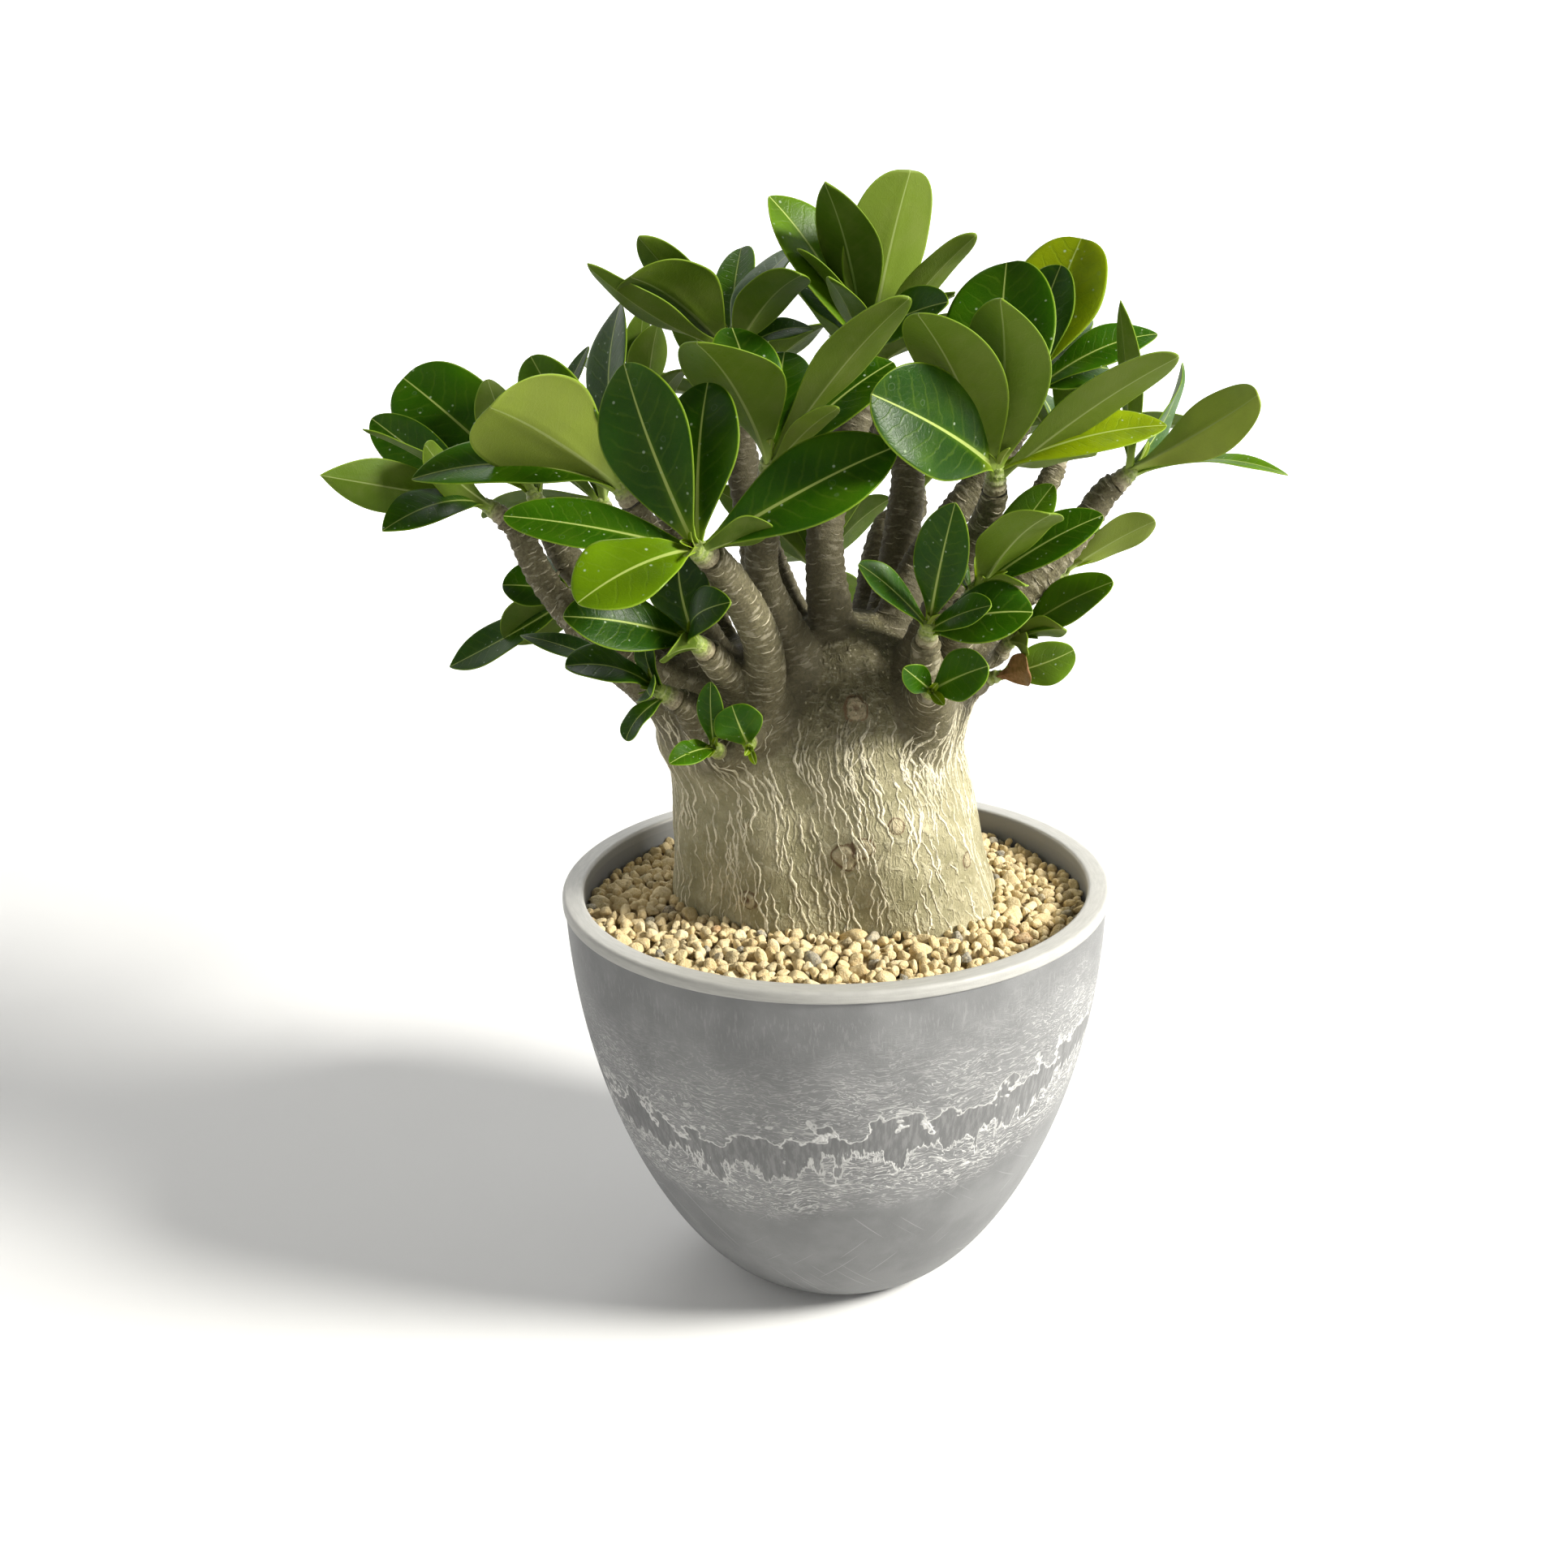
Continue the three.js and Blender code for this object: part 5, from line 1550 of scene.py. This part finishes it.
def pot_material():
    m = Paint("cast_stone_look")
    place = m.position()
    px, py, pz = m.separate(place)
    radius = m.math("MAXIMUM", m.math("SQRT", px * px + py * py), 1.0)
    ca, sa = px / radius, py / radius
    # Height of the marbled band's middle round the pot.
    turn_low = ca * 7.0 + ca * ca * 8.0
    around = m.combine(ca * 70.0, sa * 70.0, pz * 0.25)
    sway = (m.noise(around, 0.045, 2.0) - 0.5) * 16.0
    level = pz - (66.0 + turn_low + sway)

    ragged = m.noise(m.combine(px, py, pz * 1.2), 0.12, 3.4, 0.56)
    drips = m.noise(m.combine(px, py, pz * 0.1), 0.22, 4.0, 0.62)
    top_line = level - 7.0 + (ragged - 0.5) * 34.0
    low_line = level + 5.0 + (drips * 0.7 + ragged * 0.3 - 0.5) * 46.0
    band = m.step(top_line, -0.25, 0.25, 1.0, 0.0) * m.step(low_line, -0.25, 0.25)
    rim_line = m.step(abs(top_line), 0.1, 1.3, 1.0, 0.0) * m.step(low_line, -2.0, 0.0)
    drip_line = m.step(abs(low_line), 0.1, 1.5, 1.0, 0.0) * m.step(top_line, 0.0, 2.0, 1.0, 0.0)
    outline = m.math("MAXIMUM", rim_line, drip_line)

    # Pale streaks: thin wavy lines along a noise drawn out sideways, bent by a slower one.
    bent = m.vector("ADD", place, m.sway(place, 0.07, 3.0, 8.0))
    flat = m.vector("MULTIPLY", bent, (1.0, 1.0, 5.5))

    def lines(scale, detail, count, thin):
        phase = m.math("FRACT", m.noise(flat, scale, detail, 0.55, 0.4) * count)
        return m.step(abs(phase - 0.5), thin * 0.35, thin, 1.0, 0.0)

    patches = m.step(
        m.noise(m.vector("MULTIPLY", place, (1.0, 1.0, 2.0)), 0.1, 4.0, 0.65), 0.4, 0.6, 0.15, 1.0)
    streaks = m.math("MAXIMUM", lines(0.045, 4.0, 13.0, 0.15), lines(0.11, 2.5, 7.0, 0.16) * patches)
    streaks = streaks * m.step(m.noise(flat, 0.5, 3.0), 0.36, 0.56, 0.25, 1.0)
    hatch = m.noise(m.combine(px, py, pz * 0.2), 1.5, 3.0, 0.6)
    hatch = m.step(hatch, 0.52, 0.66) * (m.step(pz, 106.0, 110.0, 1.0, 0.0) * m.step(pz, 90.0, 100.0))
    cloud = m.noise(place, 0.06, 4.0, 0.6)
    under_band = m.step(low_line, -1.0, 1.0, 1.0, 0.0) * m.step(level, -24.0, -13.0)
    over_band = m.step(top_line, 0.0, 1.5) * m.step(level, 8.0, 40.0, 1.0, 0.0)
    strength = under_band * 0.95 + over_band * m.step(cloud, 0.35, 0.65, 0.25, 0.75)
    white = m.math("MAXIMUM", streaks * strength, hatch * 0.09)
    white = m.math("MAXIMUM", white, outline * m.step(ragged, 0.35, 0.6, 0.55, 0.85))

    grey = m.mix(m.step(cloud, 0.35, 0.65), (0.150, 0.152, 0.154), (0.190, 0.192, 0.194))
    veil = (under_band + over_band) * m.step(m.noise(flat, 0.09, 4.0, 0.6), 0.4, 0.65, 0.0, 0.25)
    colour = m.mix(veil, grey, (0.255, 0.256, 0.257))
    shades = m.step(m.noise(m.combine(px, py, pz * 0.06), 0.9, 3.0, 0.6), 0.4, 0.65)
    colour = m.layers(
        colour,
        (band * 0.75, m.mix(shades, (0.115, 0.116, 0.117), (0.2, 0.2, 0.2))),
        (white, (0.62, 0.615, 0.6)))
    scratch = 0.0
    for lean, shift in ((0.85, 0.0), (-0.9, 57.0)):
        across = px + pz * lean + shift
        down = pz - px * lean
        slant = m.noise(m.combine(across * 1.1, shift, down * 0.022), 1.0, 1.0, 0.4)
        scratch = m.math("MAXIMUM", scratch, m.step(slant, 0.7, 0.73))
    scratch = scratch * m.step(pz, 44.0, 56.0, 1.0, 0.0)
    colour = m.mix(scratch * 0.35, colour, (0.45, 0.45, 0.45))
    rim = m.step(pz, 111.6, 111.9) * m.step(radius, 69.0, 69.3)
    brushed = m.noise(m.combine(ca * 14.0, sa * 14.0, (pz + radius) * 1.6), 1.0, 4.0)
    colour = m.mix(rim, colour, m.mix(brushed, (0.28, 0.277, 0.26), (0.46, 0.453, 0.425)))
    inside = m.step(radius, 69.15, 69.35, 1.0, 0.0) * m.step(pz, 100.0, 101.0)
    colour = m.mix(inside * 0.8, colour, (0.19, 0.195, 0.2))
    grain = m.noise(place, 2.2, 4.0, 0.6)
    relief = white * 0.7 + (grain * 0.25 + band * -0.5)
    normal = m.bump(relief, 0.22, 0.8)
    rough = 0.42 + (grain * 0.14 + white * 0.2)
    return m.surface(colour, rough, normal, 0.45)


def floor_material():
    """Pale, with a faint glow far behind the pot, so that no horizon shows."""
    m = Paint("pale_floor")
    _, behind, _ = m.separate(m.position())
    glow = m.step(behind, 200.0, 1100.0, 0.02, 0.92)
    return m.finish(m.node("BsdfPrincipled", {
        "Base Color": (0.7, 0.7, 0.695), "Roughness": 0.8, "Specular IOR Level": 0.2,
        "Emission Color": (1, 1, 1), "Emission Strength": glow})[0])


# ------------------------------------------------------------------ the plant

rosettes = dict(ROSETTES)
for index, (name, (tip, grows)) in enumerate(REAR_ROSETTES.items()):
    rosettes[name] = (tip, grows, rear_leaves(grows, index + 1))
shoots = {name: (np.array(tip, float), direction(*grows)) for name, (tip, grows, _) in rosettes.items()}


def place(piece, node, slot):
    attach(piece, "root")
    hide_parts(node)


leaf_skin, shoot_skin = leaf_material(), shoot_material()
for index, (name, (tip, grows, leaves)) in enumerate(rosettes.items()):
    shoot_radius = SHOOT_TO_BRANCH * BRANCHES[name][1][-1]
    piece = make_rosette(name, tip, grows, leaves, shoot_radius, 300 + index, [leaf_skin, shoot_skin])
    place(piece, f"rosette_{name}", "leaf")
place(make_body(shoots, bark_material()), "caudex_and_branches", "bark")
place(make_soil(grain_material(), soil_material()), "soil_and_grains", "grains")
place(make_pot(pot_material()), "pot", "pot")

# ------------------------------------------------------------------ floor, light, camera


FLOOR_SIDES = 96
FLOOR_REACH, COVE_RADIUS = 2300, 700


def make_floor():
    """A round floor that curves up into a wall far away."""
    profile = [(0.5, 0), (200, 0), (600, 0), (1500, 0), (FLOOR_REACH, 0)]
    for a in np.linspace(0.15, 1.45, 12):
        rise = COVE_RADIUS - COVE_RADIUS * math.cos(a)
        profile.append((FLOOR_REACH + COVE_RADIUS * math.sin(a), rise))
    profile += [(3010, 1200), (3020, 2600)]
    points, quads = lathe(profile, FLOOR_SIDES)
    rim = np.arange(FLOOR_SIDES)
    middle = np.stack([np.full(FLOOR_SIDES, len(points)), rim, (rim + 1) % FLOOR_SIDES], 1)
    points = np.concatenate([points, [[0, 0, 0]]])
    return mesh_object("floor", points, [quads, middle], [floor_material()])


make_floor()


def area_light(name, place, aim, size, power, colour=(1, 1, 1)):
    data = bpy.data.lights.new(name, "AREA")
    data.shape = "DISK"
    data.size = size
    data.energy = power
    data.color = colour
    lamp = bpy.data.objects.new(name, data)
    bpy.context.scene.collection.objects.link(lamp)
    lamp.location = place
    lamp.rotation_mode = "QUATERNION"
    lamp.rotation_quaternion = (Vector(aim) - Vector(place)).to_track_quat("-Z", "Y")


area_light("key", (1.45, -0.48, 1.06), (0.0, 0.0, 0.16), 0.5, 76.0, (1.0, 0.98, 0.92))
area_light("fill", (-1.3, -0.9, 0.9), (0.0, 0.0, 0.15), 1.4, 0.6, (1.0, 1.0, 0.97))
area_light("back", (-0.1, 1.4, 1.3), (0.0, 0.0, 0.2), 0.9, 8.0)

scene = bpy.context.scene
world = bpy.data.worlds.new("studio")
world.use_nodes = True
background = world.node_tree.nodes["Background"]
background.inputs["Color"].default_value = (1.0, 0.975, 0.92, 1)
background.inputs["Strength"].default_value = 0.1
scene.world = world
scene.view_settings.view_transform = "Standard"

camera_data = bpy.data.cameras.new("camera")
camera_data.sensor_width = 36.0
camera_data.lens = 43.055
camera_data.clip_start = 0.01
camera_data.clip_end = 20.0
camera = bpy.data.objects.new("camera", camera_data)
scene.collection.objects.link(camera)
camera_place = (0.0, -0.48271, 0.30836)
azimuth, pitch, roll = math.radians(-1.585), math.radians(18.984), math.radians(-1.4)
forward = Vector((
    math.sin(azimuth) * math.cos(pitch), math.cos(azimuth) * math.cos(pitch), -math.sin(pitch)))
level_right = Vector((math.cos(azimuth), -math.sin(azimuth), 0))
level_up = level_right.cross(forward)
right = level_right * math.cos(roll) + level_up * math.sin(roll)
up = -level_right * math.sin(roll) + level_up * math.cos(roll)
rows = [(*row, at) for *row, at in zip(right, up, -forward, camera_place)]
camera.matrix_world = Matrix([*rows, (0, 0, 0, 1)])
scene.camera = camera
